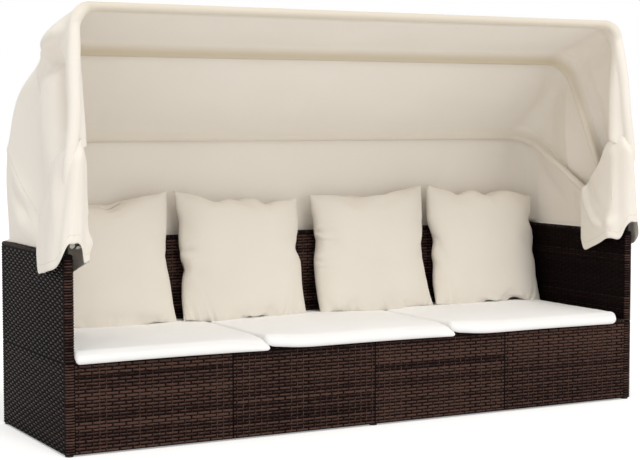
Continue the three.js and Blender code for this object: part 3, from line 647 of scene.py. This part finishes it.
def cloth_x(name):
    """How far out the side cloth lies over a bow's leg, or at the hem where there is no bow."""
    if name is None:
        return hem_x
    return bows[name]["leg"] + bows[name]["splay"] + (cloth_lift if name == "front" else side_lift)


def run_of(section):
    """The way along a section from its first bow to its second, as (direction, length)."""
    whole = section["ends"][1] - section["ends"][0]
    return whole.normalized(), whole.length


def canopy_ray(section, t, w):
    """The line from the fan's centre to the cloth at t: its direction, reach, lowest distance and corner."""
    run = run_of(section)[0]
    inward = Vector((run.y, -run.x))
    between = math.sin(math.pi * clamp(t))
    depth = mix(-section["billow"] * between ** 1.5, section["sag"] * between, smooth(side_share, 0.5, w))
    ray = section["ends"][0].lerp(section["ends"][1], t) + inward * depth - Vector((fan_y, fan_z))
    reach = ray.length
    ray.normalize()
    low = min(max(cloth_low, (hem_z - fan_z) / max(ray.y, 1e-3)), reach - smallest_corner)
    first, middle, last = section["corners"]
    corner = min(mix(mix(first, last, t), middle, between ** 1.5), reach - low)
    return ray, reach, low, corner


def canopy_place(section, t, part, q, side, smooth_cloth=False):
    """A point of a canopy section: t runs from its first bow to its second; the part is the side, the corner
    or half of the top, and q runs through that part from the hem to the middle."""
    w = (0, side_share, side_share + corner_share)[part]
    w += q * (side_share, corner_share, corner_share / 2)[part]
    between = math.sin(math.pi * clamp(t)) ** 2
    ray, reach, low, corner = canopy_ray(section, t, w)
    length = run_of(section)[1]
    at_front = section["bows"][0] == "front"
    width = mix(cloth_x(section["bows"][0]), cloth_x(section["bows"][1]), t)
    ahead = math.exp(-(max(t, 0) * length / strip_breadth) ** 2)
    distance, lift, forward = reach, 0, 0
    if part == 0:
        distance = low + q * (reach - corner - low)
        open_edge = smooth(strip_low, strip_high, fan_z + ray.y * distance)
        flare = 1 - smooth(low, max(flare_end, low + corner), distance)
        x = mix(width, mix(*section["edges"], t), flare)
        x += section["puff"] * between ** 0.7 * math.sin(math.pi * q)
        x += section["strip"] * ahead * (1 - q ** 6) * open_edge
        forward = section["flap"] * math.sin(math.pi * q ** 0.8) * (1 - clamp(t)) ** 4 * open_edge
        lift = 1
    elif part == 1:
        turn = q * math.pi / 2
        x = width - corner + corner * math.cos(turn)
        distance = reach - corner + corner * math.sin(turn)
        lift = math.cos(turn)
    else:
        x = (width - corner) * (1 - q)
    forward += section["lead"] * lift * ahead
    y, z = fan_y + ray.x * distance - forward, fan_z + ray.y * distance
    if smooth_cloth:
        return Vector((side * x, y, z))
    if lift:
        from_leg = min(abs(t), abs(1 - t)) * length * distance / reach
        raised = fold_height(y, z, side_folds[side])
        if at_front:
            raised *= 1 - (1 - smooth(0, tidy_edge, t * length)) * smooth(tidy_low, tidy_high, z)
        x += lift * max(raised, -deepest_fold - dip_slope * max(0, from_leg - leg_clear))
    ripple = noise.noise(Vector((side * x * 4.0, y * 9.0, z * 9.0 + 7.0 * side))) * ripple_height
    ripple *= smooth(0, ripple_fade, t) if at_front else 1
    if part == 0:
        x += ripple
    else:
        y, z = y + ray.x * ripple, z + ray.y * ripple
    return Vector((side * x, y, z))


def inward_of(section, part, q, side):
    """The direction from the cloth into the canopy."""
    run = run_of(section)[0]
    turn = (0, q, 1)[part] * math.pi / 2
    return -Vector((side * math.cos(turn), -run.y * math.sin(turn), run.x * math.sin(turn)))


side_steps, corner_steps, top_steps = 56, 18, 60
hem_marks = (0, 0.008, 0.022, 0.0245, 0.027)


def across_canopy(section, t):
    """Every place across a section, from the left hem to the right one, as (part, q, side)."""
    ray, reach, low, corner = canopy_ray(section, t, 0)
    run_up = max(reach - corner - low, 0.03)
    marks = [(0, min(m / run_up, 0.9)) for m in hem_marks]
    first = marks[-1][1]
    marks += [(0, mix(first, 1, (i + 1) / side_steps)) for i in range(side_steps)]
    marks += [(1, (i + 1) / corner_steps) for i in range(corner_steps)]
    marks += [(2, (i + 1) / top_steps) for i in range(top_steps)]
    return [(*mark, -1) for mark in marks] + [(*mark, 1) for mark in reversed(marks[:-1])]


leg_points, corner_points = 12, 10


def bow_line(name):
    """Points of a bow's centre line from one leg over the top to the other."""
    bow = bows[name]
    ray = Vector((0, math.cos(bow["angle"]), math.sin(bow["angle"])))
    root = Vector((0, pivot_y, pivot_z))
    straight = bow["reach"] - bow_corner
    centre = root + ray * straight - Vector((bow["leg"] + bow["splay"] - bow_corner, 0, 0))
    line = []
    for i in range(leg_points):
        distance = straight * i / leg_points
        line.append(root + ray * distance - Vector((bow["leg"] + bow["splay"] * distance / straight, 0, 0)))
    for i in range(corner_points + 1):
        turn = math.pi / 2 * i / corner_points
        line.append(centre + (ray * math.sin(turn) - Vector((math.cos(turn), 0, 0))) * bow_corner)
    return line + [Vector((-p.x, p.y, p.z)) for p in reversed(line)]


def nearest_on(line, point):
    """The point of a line that is nearest to a place."""
    places = []
    for a, b in zip(line, line[1:]):
        places.append(a.lerp(b, clamp((point - a).dot(b - a) / (b - a).length_squared)))
    return min(places, key=lambda place: (place - point).length)


tunnel_space = 0.0022
curl_steps, return_steps = 10, 14
# A loose curl below these heights, a tight roll above them
curl_radius, curl_low, curl_high = 0.017, 1.05, 1.25
loose_low, loose_high, loose_return = 0.85, 0.89, 0.004
sewn_return, least_return, roll_ease = 0.052, 0.001, 0.008
roll_painted_shade = 0.45


def rolled_edge(section, t_step):
    """The front edge goes round the front bow and back along the inside, where it is sewn down: rows from the
    seam to the edge. Low on the sides, where the cloth hangs loose, it is only a curl in front of the leg."""
    length = run_of(section)[1]
    line = bow_line("front")
    rows = [[] for _ in range(curl_steps + return_steps)]
    for part, q, side in across_canopy(section, 0):
        edge = canopy_place(section, 0, part, q, side)
        inner = inward_of(section, part, q, side)
        forward = edge - canopy_place(section, t_step, part, q, side)
        forward = (forward - inner * forward.dot(inner)).normalized()
        bow_point = nearest_on(line, edge)
        depth = (bow_point - edge).dot(inner) + bow_radius + tunnel_space
        bow_gap = max((edge - bow_point).dot(forward), 0)
        loose = 1 - smooth(loose_low, loose_high, edge.z)
        radius = mix(curl_radius, depth / 2, smooth(curl_low, curl_high, edge.z))
        far = mix(bow_gap + sewn_return, loose_return, loose)
        flat = mix(bow_gap, least_return, loose)
        centre = edge + inner * radius
        for i in range(curl_steps):
            angle = math.pi * (i + 1) / curl_steps
            rows[-1 - i].append(centre + (forward * math.sin(angle) - inner * math.cos(angle)) * radius)
        for i in range(return_steps):
            s = far * (i + 1) / return_steps
            settled = smooth(flat, max(far, flat + least_return), s)
            base = canopy_place(section, s / length, part, q, side, smooth_cloth=True)
            base = base.lerp(canopy_place(section, s / length, part, q, side), settled)
            eased = smooth(0, max(bow_gap - roll_ease, loose_return), s)
            level = mix(2 * radius, max(depth, 2 * radius), eased)
            level = mix(level, cloth_thickness, settled * (1 - loose))
            rows[return_steps - 1 - i].append(base + inner * level)
    return rows


def cloth_mesh(table, hems=None, tones=None):
    """A sheet through a table of points, with tables of the distance from the hem and of how much painted
    shade the cloth takes; its cut runs across and along by true lengths."""
    mesh = bmesh.new()
    hem_layer = mesh.verts.layers.float.new("hem")
    tone_layer = mesh.verts.layers.float.new("painted_shade")
    cut = mesh.loops.layers.uv.new("cut")
    rows, columns = len(table) - 1, len(table[0]) - 1
    across, along = [0], [0]
    for a, b in zip(table[rows], table[rows][1:]):
        across.append(across[-1] + (b - a).length)
    for a, b in zip(table, table[1:]):
        along.append(along[-1] + (b[columns // 2] - a[columns // 2]).length)
    places = {}
    for vert, column, row in grid_points(mesh, columns, rows):
        vert.co = table[row][column]
        vert[hem_layer] = hems[row][column] if hems else 1.0
        vert[tone_layer] = tones[row][column] if tones else 0.0
        places[vert] = (across[column], along[row])
    for face in mesh.faces:
        for loop in face.loops:
            loop[cut].uv = places[loop.vert]
    return mesh


def hem_gaps(line, marks):
    """How far the points of the first side lie from its hem along the line; 1 for all the others."""
    gaps = [1.0] * len(line)
    passed = 0
    for i in range(1, len(line)):
        passed += (line[i] - line[i - 1]).length
        if marks[i][0] > 0:
            break
        gaps[i] = passed
    return gaps


section_lap, skirt_slant = 0.0012, 0.0008


def canopy_section(name, rows, rolled=False, skirt=0):
    """One section of the canopy, from its front bow to its rear bow and from hem to hem."""
    section = sections[name]
    lap = section_lap / run_of(section)[1]
    table, hems, tones = [], [], []
    for row in range(rows + 1):
        t = mix(0 if rolled else -lap, 1 + lap, row / rows)
        marks = across_canopy(section, t)
        line = [canopy_place(section, t, *mark) for mark in marks]
        table.append(line)
        gaps = zip(hem_gaps(line, marks), reversed(hem_gaps(line[::-1], marks[::-1])))
        hems.append([min(pair) for pair in gaps])
        tones.append([0.0] * len(line))
    if skirt:
        for step in (0.5, 1):
            drop = [skirt * step * (0, q, 1)[part] for part, q, side in across_canopy(section, 1)]
            table.append([p - Vector((0, -skirt_slant * step, d)) for p, d in zip(table[rows], drop)])
            hems.append(hems[rows])
            tones.append(tones[rows])
    if rolled:
        edge_rows = rolled_edge(section, 1 / rows)
        count = len(edge_rows)
        table = edge_rows + table
        hems = [hems[0]] * count + hems
        # The roll takes a painted shade, none on the sides and deepest over the top, fading out at the seam
        # and at the edge
        shares = [roll_painted_shade * (0, q, 1)[part] for part, q, side in across_canopy(section, 0)]
        for row in reversed(range(count)):
            shade = within((0, return_steps, count - 3, count), row)
            tones.insert(0, [shade * share for share in shares])
    return cloth_mesh(table, hems, tones)


def canopy_piece(mesh, name, body=None, thickness=cloth_thickness):
    """Makes a sheet a piece of the canopy, thickened evenly to both sides."""
    piece = piece_from(mesh, name, canvas, body)
    solid = piece.modifiers.new("thickness", "SOLIDIFY")
    solid.thickness = thickness
    solid.offset = 0
    return piece


def from_pivot(degrees):
    """A point in the canopy's middle, from the pivots at an angle over the level."""
    return (0, *on_ray(math.radians(degrees), 0.32))


front_panel = canopy_piece(canopy_section("front", 36, rolled=True), "canopy_front_cloth")
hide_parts("canopy_front_panel", "front_sleeve")
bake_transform(front_panel, "middle_bow", "front_bow", from_pivot(61.7), from_pivot(86.0))
rear_panel = canopy_piece(canopy_section("rear", 42), "canopy_rear_cloth")
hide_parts("canopy_rear_panel")
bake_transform(rear_panel, "rear_bow", "middle_bow", from_pivot(27.2), from_pivot(61.7))
back_panel = canopy_piece(canopy_section("back", 38, skirt=0.020), "canopy_back_cloth")
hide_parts("canopy_back_panel")
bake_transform(back_panel, "bench", "rear_bow", from_pivot(-2.8), from_pivot(27.2))


# The tunnels of the middle and rear bow: strips of the same cloth sewn to the canopy from inside, so that
# each bow runs in a sleeve. In front the strip leaves the cloth gently; behind the bow it is drawn up close.

tunnel_start, tunnel_ahead, narrow_share = 0.20, 0.066, 0.62
front_rows, round_rows, rear_rows = 9, 8, 3
round_start, round_end = math.radians(48), math.radians(160)
strip_thickness, strip_space = 0.0010, 0.0002


def tunnel(name, before, after, astern, darkest_shade):
    """A strip over a bow's inner side, from the section before the bow to the one behind it."""
    section_before, section_after = sections[before], sections[after]
    length_before, length_after = run_of(section_before)[1], run_of(section_after)[1]
    line = bow_line(name)
    marks = [m for m in across_canopy(section_after, 0) if m[0] or (
        canopy_place(section_after, 0, *m) - Vector((m[2] * arm_side, fan_y, fan_z))).length > tunnel_start]
    rows = [[] for _ in range(front_rows + round_rows + rear_rows + 1)]
    shell = bow_radius + tunnel_space
    for part, q, side in marks:
        reach = mix(tunnel_ahead * narrow_share, tunnel_ahead, (0, q, 1)[part])
        middle = canopy_place(section_after, 0, part, q, side)
        first = canopy_place(section_before, 1 - reach / length_before, part, q, side)
        first += inward_of(section_before, part, q, side) * strip_space
        last = canopy_place(section_after, astern / length_after, part, q, side)
        last += inward_of(section_after, part, q, side) * strip_space
        centre = nearest_on(line, middle)
        out = (middle - centre).normalized()
        fore = first - last
        fore = (fore - out * fore.dot(out)).normalized()
        round_points = []
        for i in range(round_rows + 1):
            angle = mix(round_start, round_end, i / round_rows)
            round_points.append(centre + (fore * math.cos(angle) - out * math.sin(angle)) * shell)
        pull = (round_points[0] - first).length
        slope = (middle - first).normalized() * pull
        turn = (-fore * math.sin(round_start) - out * math.cos(round_start)) * pull
        for i in range(front_rows):
            s = i / front_rows
            point = first * (2 * s ** 3 - 3 * s ** 2 + 1) + slope * (s ** 3 - 2 * s ** 2 + s)
            point += round_points[0] * (3 * s ** 2 - 2 * s ** 3) + turn * (s ** 3 - s ** 2)
            rows[i].append(point)
        for i, point in enumerate(round_points):
            rows[front_rows + i].append(point)
        for i in range(rear_rows):
            rows[-rear_rows + i].append(round_points[-1].lerp(last, (i + 1) / rear_rows))
    # Painted shade: it grows from the strip's front edge to the bow, eases off behind it and is lighter
    # towards the hems
    tones = []
    for row in range(len(rows)):
        tone = smooth(0.2, 1, row / front_rows)
        if row > front_rows:
            tone = mix(1, 0.7, (row - front_rows) / (len(rows) - front_rows))
        tones.append([darkest_shade * tone * (0.5, 0.5 + 0.5 * q, 1)[part] for part, q, side in marks])
    return cloth_mesh(rows, tones=tones)


# Each tunnel's front part is sewn to the section before its bow, so it folds up with that section.
for name, before, after, astern, darkest_shade, next_bow, degrees_on in (
        ("middle", "front", "rear", 0.013, 0.85, "front_bow", (61.7, 86.0)),
        ("rear", "rear", "back", 0.016, 0.3, "middle_bow", (27.2, 61.7))):
    strip = tunnel(name, before, after, astern, darkest_shade)
    strip = canopy_piece(strip, f"{name}_bow_tunnel", None, strip_thickness)
    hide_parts(f"{name}_sleeve")
    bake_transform(strip, f"{name}_bow", next_bow, from_pivot(degrees_on[0]), from_pivot(degrees_on[1]))


# The loose front corners: below the front bow the side cloth isn't fixed. It hangs round the arm's front end,
# one flap outside and one inside, and its own folds keep it off the bolt.

# Upper edge (x, y, z) and lower edge (x, y, z), from the outer flap's back edge to the inner flap's
drape_rows = [
    [1.0060, -0.050, 0.605, 1.0070, -0.048, 0.560], [1.0060, -0.066, 0.640, 1.0100, -0.070, 0.506],
    [1.0060, -0.105, 0.690, 1.0150, -0.120, 0.508], [1.0040, -0.150, 0.750, 1.0220, -0.170, 0.513],
    [1.0010, -0.180, 0.815, 1.0262, -0.215, 0.521], [0.9980, -0.228, 0.842, 1.0268, -0.255, 0.531],
    [0.9930, -0.264, 0.860, 1.0180, -0.284, 0.556], [0.9840, -0.290, 0.872, 1.0000, -0.297, 0.598],
    [0.9700, -0.301, 0.880, 0.9830, -0.300, 0.602], [0.9560, -0.300, 0.886, 0.9680, -0.300, 0.602],
    [0.9460, -0.290, 0.892, 0.9560, -0.292, 0.585], [0.9360, -0.272, 0.886, 0.9440, -0.275, 0.546],
    [0.9265, -0.250, 0.868, 0.9225, -0.250, 0.548], [0.9260, -0.213, 0.826, 0.9260, -0.205, 0.532],
    [0.9280, -0.150, 0.762, 0.9280, -0.150, 0.512], [0.9330, -0.092, 0.704, 0.9340, -0.100, 0.499],
    [0.9360, -0.076, 0.676, 0.9360, -0.078, 0.535],
]
drape_columns, drape_height_steps = 120, 44
inner_flap, flap_distance = 0.6, 0.1     # where the inner flap starts, and how far each is from the middle
nut_bump, nut_bump_breadth = 0.0115, 0.022
edge_tuck, tuck_low, tuck_ends = 0.022, 0.82, (0.28, 0.40, 0.78, 0.86)
wave_ends, wave_top, wave_loss = (0, 0.04, 0.96, 1), 0.55, 0.8
drape_folds = [  # place along the corner at the top and at the hem, breadth, depth
    (0.30, 0.24, 0.060, 0.006), (0.43, 0.33, 0.040, -0.004), (0.52, 0.47, 0.040, 0.004),
    (0.90, 0.78, 0.045, 0.006),
]
# Folds in the corners' own plane, as on the sides: on the left one's outer flap, the right one's inner flap
drape_creases = {
    -1: [([(-0.215, 0.80), (-0.228, 0.72), (-0.235, 0.66)], 0.030, 0.022, 0.006),
         ([(-0.150, 0.655), (-0.120, 0.610), (-0.105, 0.575)], 0.030, 0.030, -0.004)],
    1: [([(-0.085, 0.745), (-0.118, 0.665), (-0.165, 0.605), (-0.240, 0.570)], 0.007, 0.024, 0.015),
        ([(-0.105, 0.750), (-0.150, 0.685), (-0.200, 0.640)], 0.020, 0.014, -0.006)],
}


def along_rows(rows, share):
    """A smooth line through the rows of a table."""
    place = share * (len(rows) - 1)
    i = min(int(place), len(rows) - 2)
    t = place - i
    before, a, b, after = (rows[min(max(i + k, 0), len(rows) - 1)] for k in (-1, 0, 1, 2))
    made = []
    for p, q, r, s in zip(before, a, b, after):
        made.append(q + 0.5 * t * (r - p + t * (2 * p - 5 * q + 4 * r - s + t * (3 * (q - r) + s - p))))
    return made


def drape(side):
    """A hanging corner: u runs from the outer flap round to the inner flap, v from the hem up."""
    table, hems = [], []
    for row in range(drape_height_steps + 1):
        v = row / drape_height_steps
        line, gaps = [], []
        for column in range(drape_columns + 1):
            u = column / drape_columns
            here = along_rows(drape_rows, u)
            upper, lower = Vector(here[:3]), Vector(here[3:])
            ahead, behind = (along_rows(drape_rows, clamp(u + d)) for d in (0.01, -0.01))
            run = (Vector(ahead[3:5]) - Vector(behind[3:5])).normalized()
            point = lower.lerp(upper, v)
            wave = 0
            for top_place, hem_place, breadth, depth in drape_folds:
                wave += depth * math.exp(-((u - mix(hem_place, top_place, v)) / breadth) ** 2)
            wave *= within(wave_ends, u) * (1 - smooth(wave_top, 1, v) * wave_loss)
            nut_distance = math.hypot(point.y - pivot_y, point.z - pivot_z) if u > inner_flap else 1
            inward = nut_bump * math.exp(-(nut_distance / nut_bump_breadth) ** 2)
            if (u > 0.5) == (side > 0):
                crease = fold_height(point.y, point.z, drape_creases[side])
                inward += crease * side * smooth(0, 0.10, abs(u - 0.5) - flap_distance)
            hidden = edge_tuck * smooth(tuck_low, 1, v) * within(tuck_ends, u)
            x, y = point.x - run.y * wave - inward, point.y + run.x * wave + hidden
            line.append(Vector((side * x, y, point.z)))
            gaps.append((upper - lower).length * v)
        table.append(line)
        hems.append(gaps)
    return cloth_mesh(table, hems)


for side_name, side in (("left", -1), ("right", 1)):
    corner = canopy_piece(drape(side), f"{side_name}_loose_corner", "front_bow")
    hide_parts(f"{side_name}_drape")


# The seat cushions: thin foam pads in a pale cover, sewn edge to edge with one seam round the middle of the
# side. Where two meet, the front corner of the right one lies on the left one.

cushion_bottom = seat_height + 0.0005
cushion_thickness, cushion_crown = 0.026, 0.006
cushion_front, cushion_back = -0.290, 0.283
cushion_droop, droop_start = 0.013, -0.252
cushion_cells, cell_crowding = 64, 1.7
cushions = {  # left and right end, radius of the front corners, how far these are lifted or pressed down
    "left": ((-0.974, -0.367), (0.012, 0.016), (0, -0.5)),
    "middle": ((-0.365, 0.287), (0.030, 0.016), (1, -0.5)),
    "right": ((0.289, 0.943), (0.030, 0.040), (1, 0)),
}
back_corner = 0.040
corner_lift, corner_lap, lap_breadth = 0.011, 0.016, 0.075
edge_draw, edge_draw_breadth = 0.004, 0.05
edge_radius = 0.011
pucker_height, pucker_breadth = 0.0016, 0.02
soft_height, soft_breadth, crown_breadth = 0.0024, 0.1, 0.20
pressed_thin = 0.5


def soft_cover(name, *creams):
    """A tight plain weave with a soft dry hand: no gloss, faint slubs, threads drawn 1.6 mm wide to show."""
    made, tree = new_material(name)
    height = plain_weave(tree, stretched(tree, own_place(tree), (620, 620, 620)), "Z")
    cream = two_tone(tree, clouds(tree, 5.0, 3), *creams)
    threads = relief(tree, height, 0.15, 0.0003)
    surface(tree, Base_Color=cream, Roughness=0.88, Sheen_Weight=0.15, Normal=threads)
    return made


def sew(mesh):
    """Joins the two faces of a pad round the edge, and turns every face outwards."""
    bmesh.ops.remove_doubles(mesh, verts=mesh.verts, dist=1e-5)
    bmesh.ops.recalc_face_normals(mesh, faces=mesh.faces)


def cushion(ends, corners, laps, seed):
    """Two faces of a pad with a seam at half height; a square grid is drawn out to the rounded outline."""
    mesh = bmesh.new()
    left, right = ends
    half_width, half_depth = (right - left) / 2, (cushion_back - cushion_front) / 2
    centre = Vector(((left + right) / 2, (cushion_front + cushion_back) / 2, 0))
    seam_z = cushion_bottom + cushion_thickness / 2
    for face in (1, -1):
        for vert, *_ in grid_points(mesh, cushion_cells, cushion_cells):
            u, v = (math.copysign(1 - (1 - abs(c)) ** cell_crowding, c) for c in (vert.co.x, vert.co.y))
            x, y = u * half_width, v * half_depth
            corner = back_corner if y > 0 else corners[x > 0]
            over_x, over_y = abs(x) - (half_width - corner), abs(y) - (half_depth - corner)
            if over_x > 0 and over_y > 0:
                square = max(over_x, over_y)
                scale = square / math.hypot(over_x, over_y)
                x = math.copysign(half_width - corner + over_x * scale, x)
                y = math.copysign(half_depth - corner + over_y * scale, y)
                edge = corner - square
            else:
                edge = min(half_width - abs(x), half_depth - abs(y))
            at_end = abs(v) > abs(u)
            drawn = edge_draw * math.cos(math.pi * (u if at_end else v) / 2)
            pull = drawn * max(0, 1 - edge / edge_draw_breadth)
            if at_end:
                y -= math.copysign(pull, y)
            else:
                x -= math.copysign(pull, x)
            round_edge = math.sqrt(max(0, 1 - (1 - min(edge / edge_radius, 1)) ** 2))
            pucker = noise.noise(Vector((x * 38, y * 38, seed))) * pucker_height
            pucker *= math.exp(-edge / pucker_breadth) * min(edge / 0.004, 1)
            soft = noise.noise(Vector((x * 7, y * 7, seed + 5))) * soft_height * smooth(0, soft_breadth, edge)
            lap = laps[x > 0]
            near = math.exp(-((half_width - abs(x)) ** 2 + (y + half_depth) ** 2) / lap_breadth ** 2)
            rise = face * cushion_thickness / 2 * round_edge
            if face > 0:
                rise += cushion_crown * smooth(0, crown_breadth, edge)
            if lap < 0:
                rise *= 1 - pressed_thin * near
            if face > 0:
                rise += pucker + soft
            if lap > 0:
                rise += corner_lift * near
                x -= corner_lap * near
            elif lap < 0:
                rise -= cushion_thickness / 4 * near
            place = centre + Vector((x, y, seam_z + rise))
            place.z -= cushion_droop * smooth(droop_start, cushion_front, place.y)
            vert.co = place
    sew(mesh)
    return mesh


cover = soft_cover("woven_polyester_cushion", "#F3F2F1", "#F8F8F8")
for i, (name, (ends, corners, laps)) in enumerate(cushions.items()):
    pad = cushion(ends, corners, laps, 3.0 + 11 * i)
    pad = piece_from(pad, f"{name}_seat_pad", cover, "bench")
    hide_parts(f"{name}_seat_cushion")


# The back pillows: fibre-filled covers cut square, sewn with a plain knife edge, in a warmer cream. Their
# form is half a cloth simulation of two flat squares blown up by their filling, half an even swell. The
# filling draws the seams into small gathers.

pillow_width, pillow_height = 0.446, 0.424
pillow_slack, flat_rise = 1.10, 0.020
pillow_front_depth, pillow_back_depth = 0.060, 0.044
side_draw, head_draw, foot_draw = 0.006, 0.013, -0.001
foot_push, foot_push_height = 0.030, 0.16
seam_play, seam_smoothing = 0.14, 4
pinch_spread = 0.34
smooth_passes, even_share = 12, 0.5
pillow_lean = math.radians(7)
pillow_foot_y, pillow_foot_z = 0.212, 0.2935
# Place on the seat, how far the upper left and right corners have sunk, the pinch in the left and right edge
# as (depth, height), and folds besides the small tucks
pillows = {
    "left": (-0.689, (0.036, 0.002), ((0.008, 0.1), (0.015, 0.02)), []),
    "middle_left": (-0.220, (0.004, 0.036), ((0.014, 0.10), (0.005, 0.34)),
                    [("left", 0.05, 0.0060, 0.007, 0.045, 0.25)]),
    "middle_right": (0.274, (0.024, 0.004), ((0.010, 0.20), (0.011, 0.05)), [
        ("left", 0.34, 0.0075, 0.007, 0.055, -0.12), ("left", -0.06, 0.0045, 0.006, 0.035, 0.25),
        ("left", -0.17, 0.0045, 0.006, 0.035, 0.20)]),
    "right": (0.737, (0.002, 0.034), ((0.010, 0.05), (0.003, 0.40)),
              [("left", 0.10, 0.0040, 0.006, 0.035, 0.10)]),
}
pillow_cells, pillow_frames = 58, 20
gathered_edges = (  # edge, number of tucks, depth, length
    ("foot", 12, 0.0060, 0.042), ("head", 9, 0.0040, 0.016), ("left", 4, 0.0016, 0.018),
    ("right", 4, 0.0016, 0.018),
)
tuck_start = 0.007
sink_start = -0.6
cloth_slack, seam_share = 0.0008, 0.999


def flat_pillow(name, seed):
    """Two squares of cloth joined round the edge, with a little slack at random, as one closed mesh."""
    rng = random.Random(seed)
    mesh = bmesh.new()
    across, upward = (mesh.verts.layers.float.new(layer) for layer in ("across", "upward"))
    for face in (1, -1):
        for vert, *_ in grid_points(mesh, pillow_cells, pillow_cells):
            u, v = vert[across], vert[upward] = vert.co.x, vert.co.y
            inside = (1 - u ** 6) * (1 - v ** 6)
            vert.co.x *= pillow_width * pillow_slack / 2
            vert.co.y *= pillow_height * pillow_slack / 2
            vert.co.z = face * (flat_rise * inside ** 0.5 + cloth_slack * inside * rng.uniform(-1, 1))
    sew(mesh)
    return object_from(mesh, name)


def blown_up(flat):
    """The flat pillow after its filling has pushed its two sides apart."""
    cloth = flat.modifiers.new("filling", "CLOTH")
    fabric = {"quality": 6, "mass": 0.2, "tension_stiffness": 25, "compression_stiffness": 25,
              "shear_stiffness": 8, "bending_stiffness": 0.3, "use_pressure": True,
              "uniform_pressure_force": 4}
    for name, value in fabric.items():
        setattr(cloth.settings, name, value)
    cloth.settings.effector_weights.gravity = 0
    cloth.collision_settings.use_collision = False
    for number in range(1, pillow_frames + 1):
        scene.frame_set(number)
    view = flat.evaluated_get(bpy.context.evaluated_depsgraph_get())
    made = bpy.data.meshes.new_from_object(view)
    flat.modifiers.clear()
    scene.frame_set(1)
    return made


def seam_table(mesh, layer_along, layer_across, axis):
    """How far out a simulated seam lies along its length, as a table over the flat pillow's rows, partly
    smoothed."""
    reach = [[] for _ in range(pillow_cells + 1)]
    for vert in mesh.verts:
        if abs(vert[layer_across]) > seam_share:
            reach[round((vert[layer_along] + 1) / 2 * pillow_cells)].append(abs(vert.co[axis]))
    means = [sum(values) / len(values) for values in reach]
    table = []
    for i, here in enumerate(means):
        around = means[max(i - seam_smoothing, 0):i + seam_smoothing + 1]
        table.append(mix(sum(around) / len(around), here, seam_play))
    return table


def from_table(table, share):
    place = clamp((share + 1) / 2) * (len(table) - 1)
    i = min(int(place), len(table) - 2)
    return mix(table[i], table[i + 1], place - i)


def gathers(rng):
    """Tucks along the four seams, as (edge, place along it, depth, half breadth, length, slant)."""
    tucks = []
    for edge, count, depth, length in gathered_edges:
        for i in range(count):
            place = -0.9 + 1.8 * (i + rng.uniform(0.1, 0.9)) / count
            tucks.append((edge, place, depth * rng.uniform(0.4, 1), rng.uniform(0.004, 0.008),
                          length * rng.uniform(0.5, 1.3), rng.uniform(-0.35, 0.35)))
    return tucks


def gather_depth(u, v, tucks):
    """How deep the tucks draw the cloth in at a place of the front."""
    total = 0
    seams = {"foot": (u, -v), "head": (u, v), "left": (v, -u), "right": (v, u)}
    for edge, place, depth, breadth, length, slant in tucks:
        along, toward = seams[edge]
        if toward < 0:
            continue
        inside = (1 - toward) * pillow_height / 2
        off = abs((along - place) * pillow_width / 2 - slant * inside)
        if inside < 4 * length and off < 4 * breadth:
            fade = min(inside / tuck_start, 1) * math.exp(-(inside / length) ** 1.5)
            wide = breadth * (1 + inside / length)
            valley = math.exp(-(off / wide) ** 2) - 0.6 * math.exp(-((off - 2 * wide) / wide) ** 2)
            total += depth * fade * valley
    return total


def pillow(name, seed):
    """The simulated pillow, brought to its cut size with its sides drawn in, its seams gathered and its foot
    pushed forward on the seat."""
    flat = flat_pillow(name + "_cut", seed)
    data = blown_up(flat)
    bpy.data.objects.remove(flat)
    mesh = bmesh.new()
    mesh.from_mesh(data)
    bpy.data.meshes.remove(data)
    across, upward = (mesh.verts.layers.float[layer] for layer in ("across", "upward"))
    for _ in range(smooth_passes):
        bmesh.ops.smooth_vert(mesh, verts=mesh.verts, factor=0.5, use_axis_x=True, use_axis_y=True,
                              use_axis_z=True)
    side_seam = seam_table(mesh, upward, across, 0)
    end_seam = seam_table(mesh, across, upward, 1)
    bmesh.ops.subdivide_edges(mesh, edges=mesh.edges, cuts=1, use_grid_fill=True, smooth=0.5)
    low = min(v.co.z for v in mesh.verts)
    high = max(v.co.z for v in mesh.verts)
    lean_cos, lean_sin = math.cos(pillow_lean), math.sin(pillow_lean)
    place, sunk, pinches, folds = pillows[name]
    tucks = gathers(random.Random(seed + 5)) + folds
    for vert in mesh.verts:
        u, v = vert[across], vert[upward]
        pinch, pinch_height = pinches[u > 0]
        pinched = pinch * math.exp(-abs(v - pinch_height) / pinch_spread) * (1 - v ** 6) * u * u
        draw = side_draw * (1 - v * v) ** 0.8 + pinched
        x = mix(vert.co.x / from_table(side_seam, v), u, even_share) * (pillow_width / 2 - draw)
        drawn = (head_draw if v > 0 else foot_draw) * (1 - u * u) ** 0.8
        y = vert.co.y / from_table(end_seam, u) * (pillow_height / 2 - drawn)
        y -= mix(*sunk, (u + 1) / 2) * smooth(sink_start, 1, v)
        front = vert.co.z > 0
        plump = math.sqrt(max((1 - u ** 4) * (1 - v ** 4), 0)) * (1 if front else -1)
        deep = mix(vert.co.z / (high if front else -low), plump, even_share)
        deep *= pillow_front_depth if front else pillow_back_depth
        if deep > 0:
            deep -= gather_depth(u, v, tucks)
        up = y + pillow_height / 2
        deep += foot_push * max(0, 1 - up / foot_push_height) ** 2
        vert.co = Vector((
            place + x,
            pillow_foot_y + up * lean_sin - deep * lean_cos,
            pillow_foot_z + up * lean_cos + deep * lean_sin,
        ))
    bmesh.ops.recalc_face_normals(mesh, faces=mesh.faces)
    return mesh


linen = soft_cover("woven_polyester_pillow", "#DED6CA", "#E5DED3")
for number, name in enumerate(pillows):
    stuffed = piece_from(pillow(name, 71 + number), f"{name}_back_pillow", linen, "bench")
    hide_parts(f"{name}_pillow")
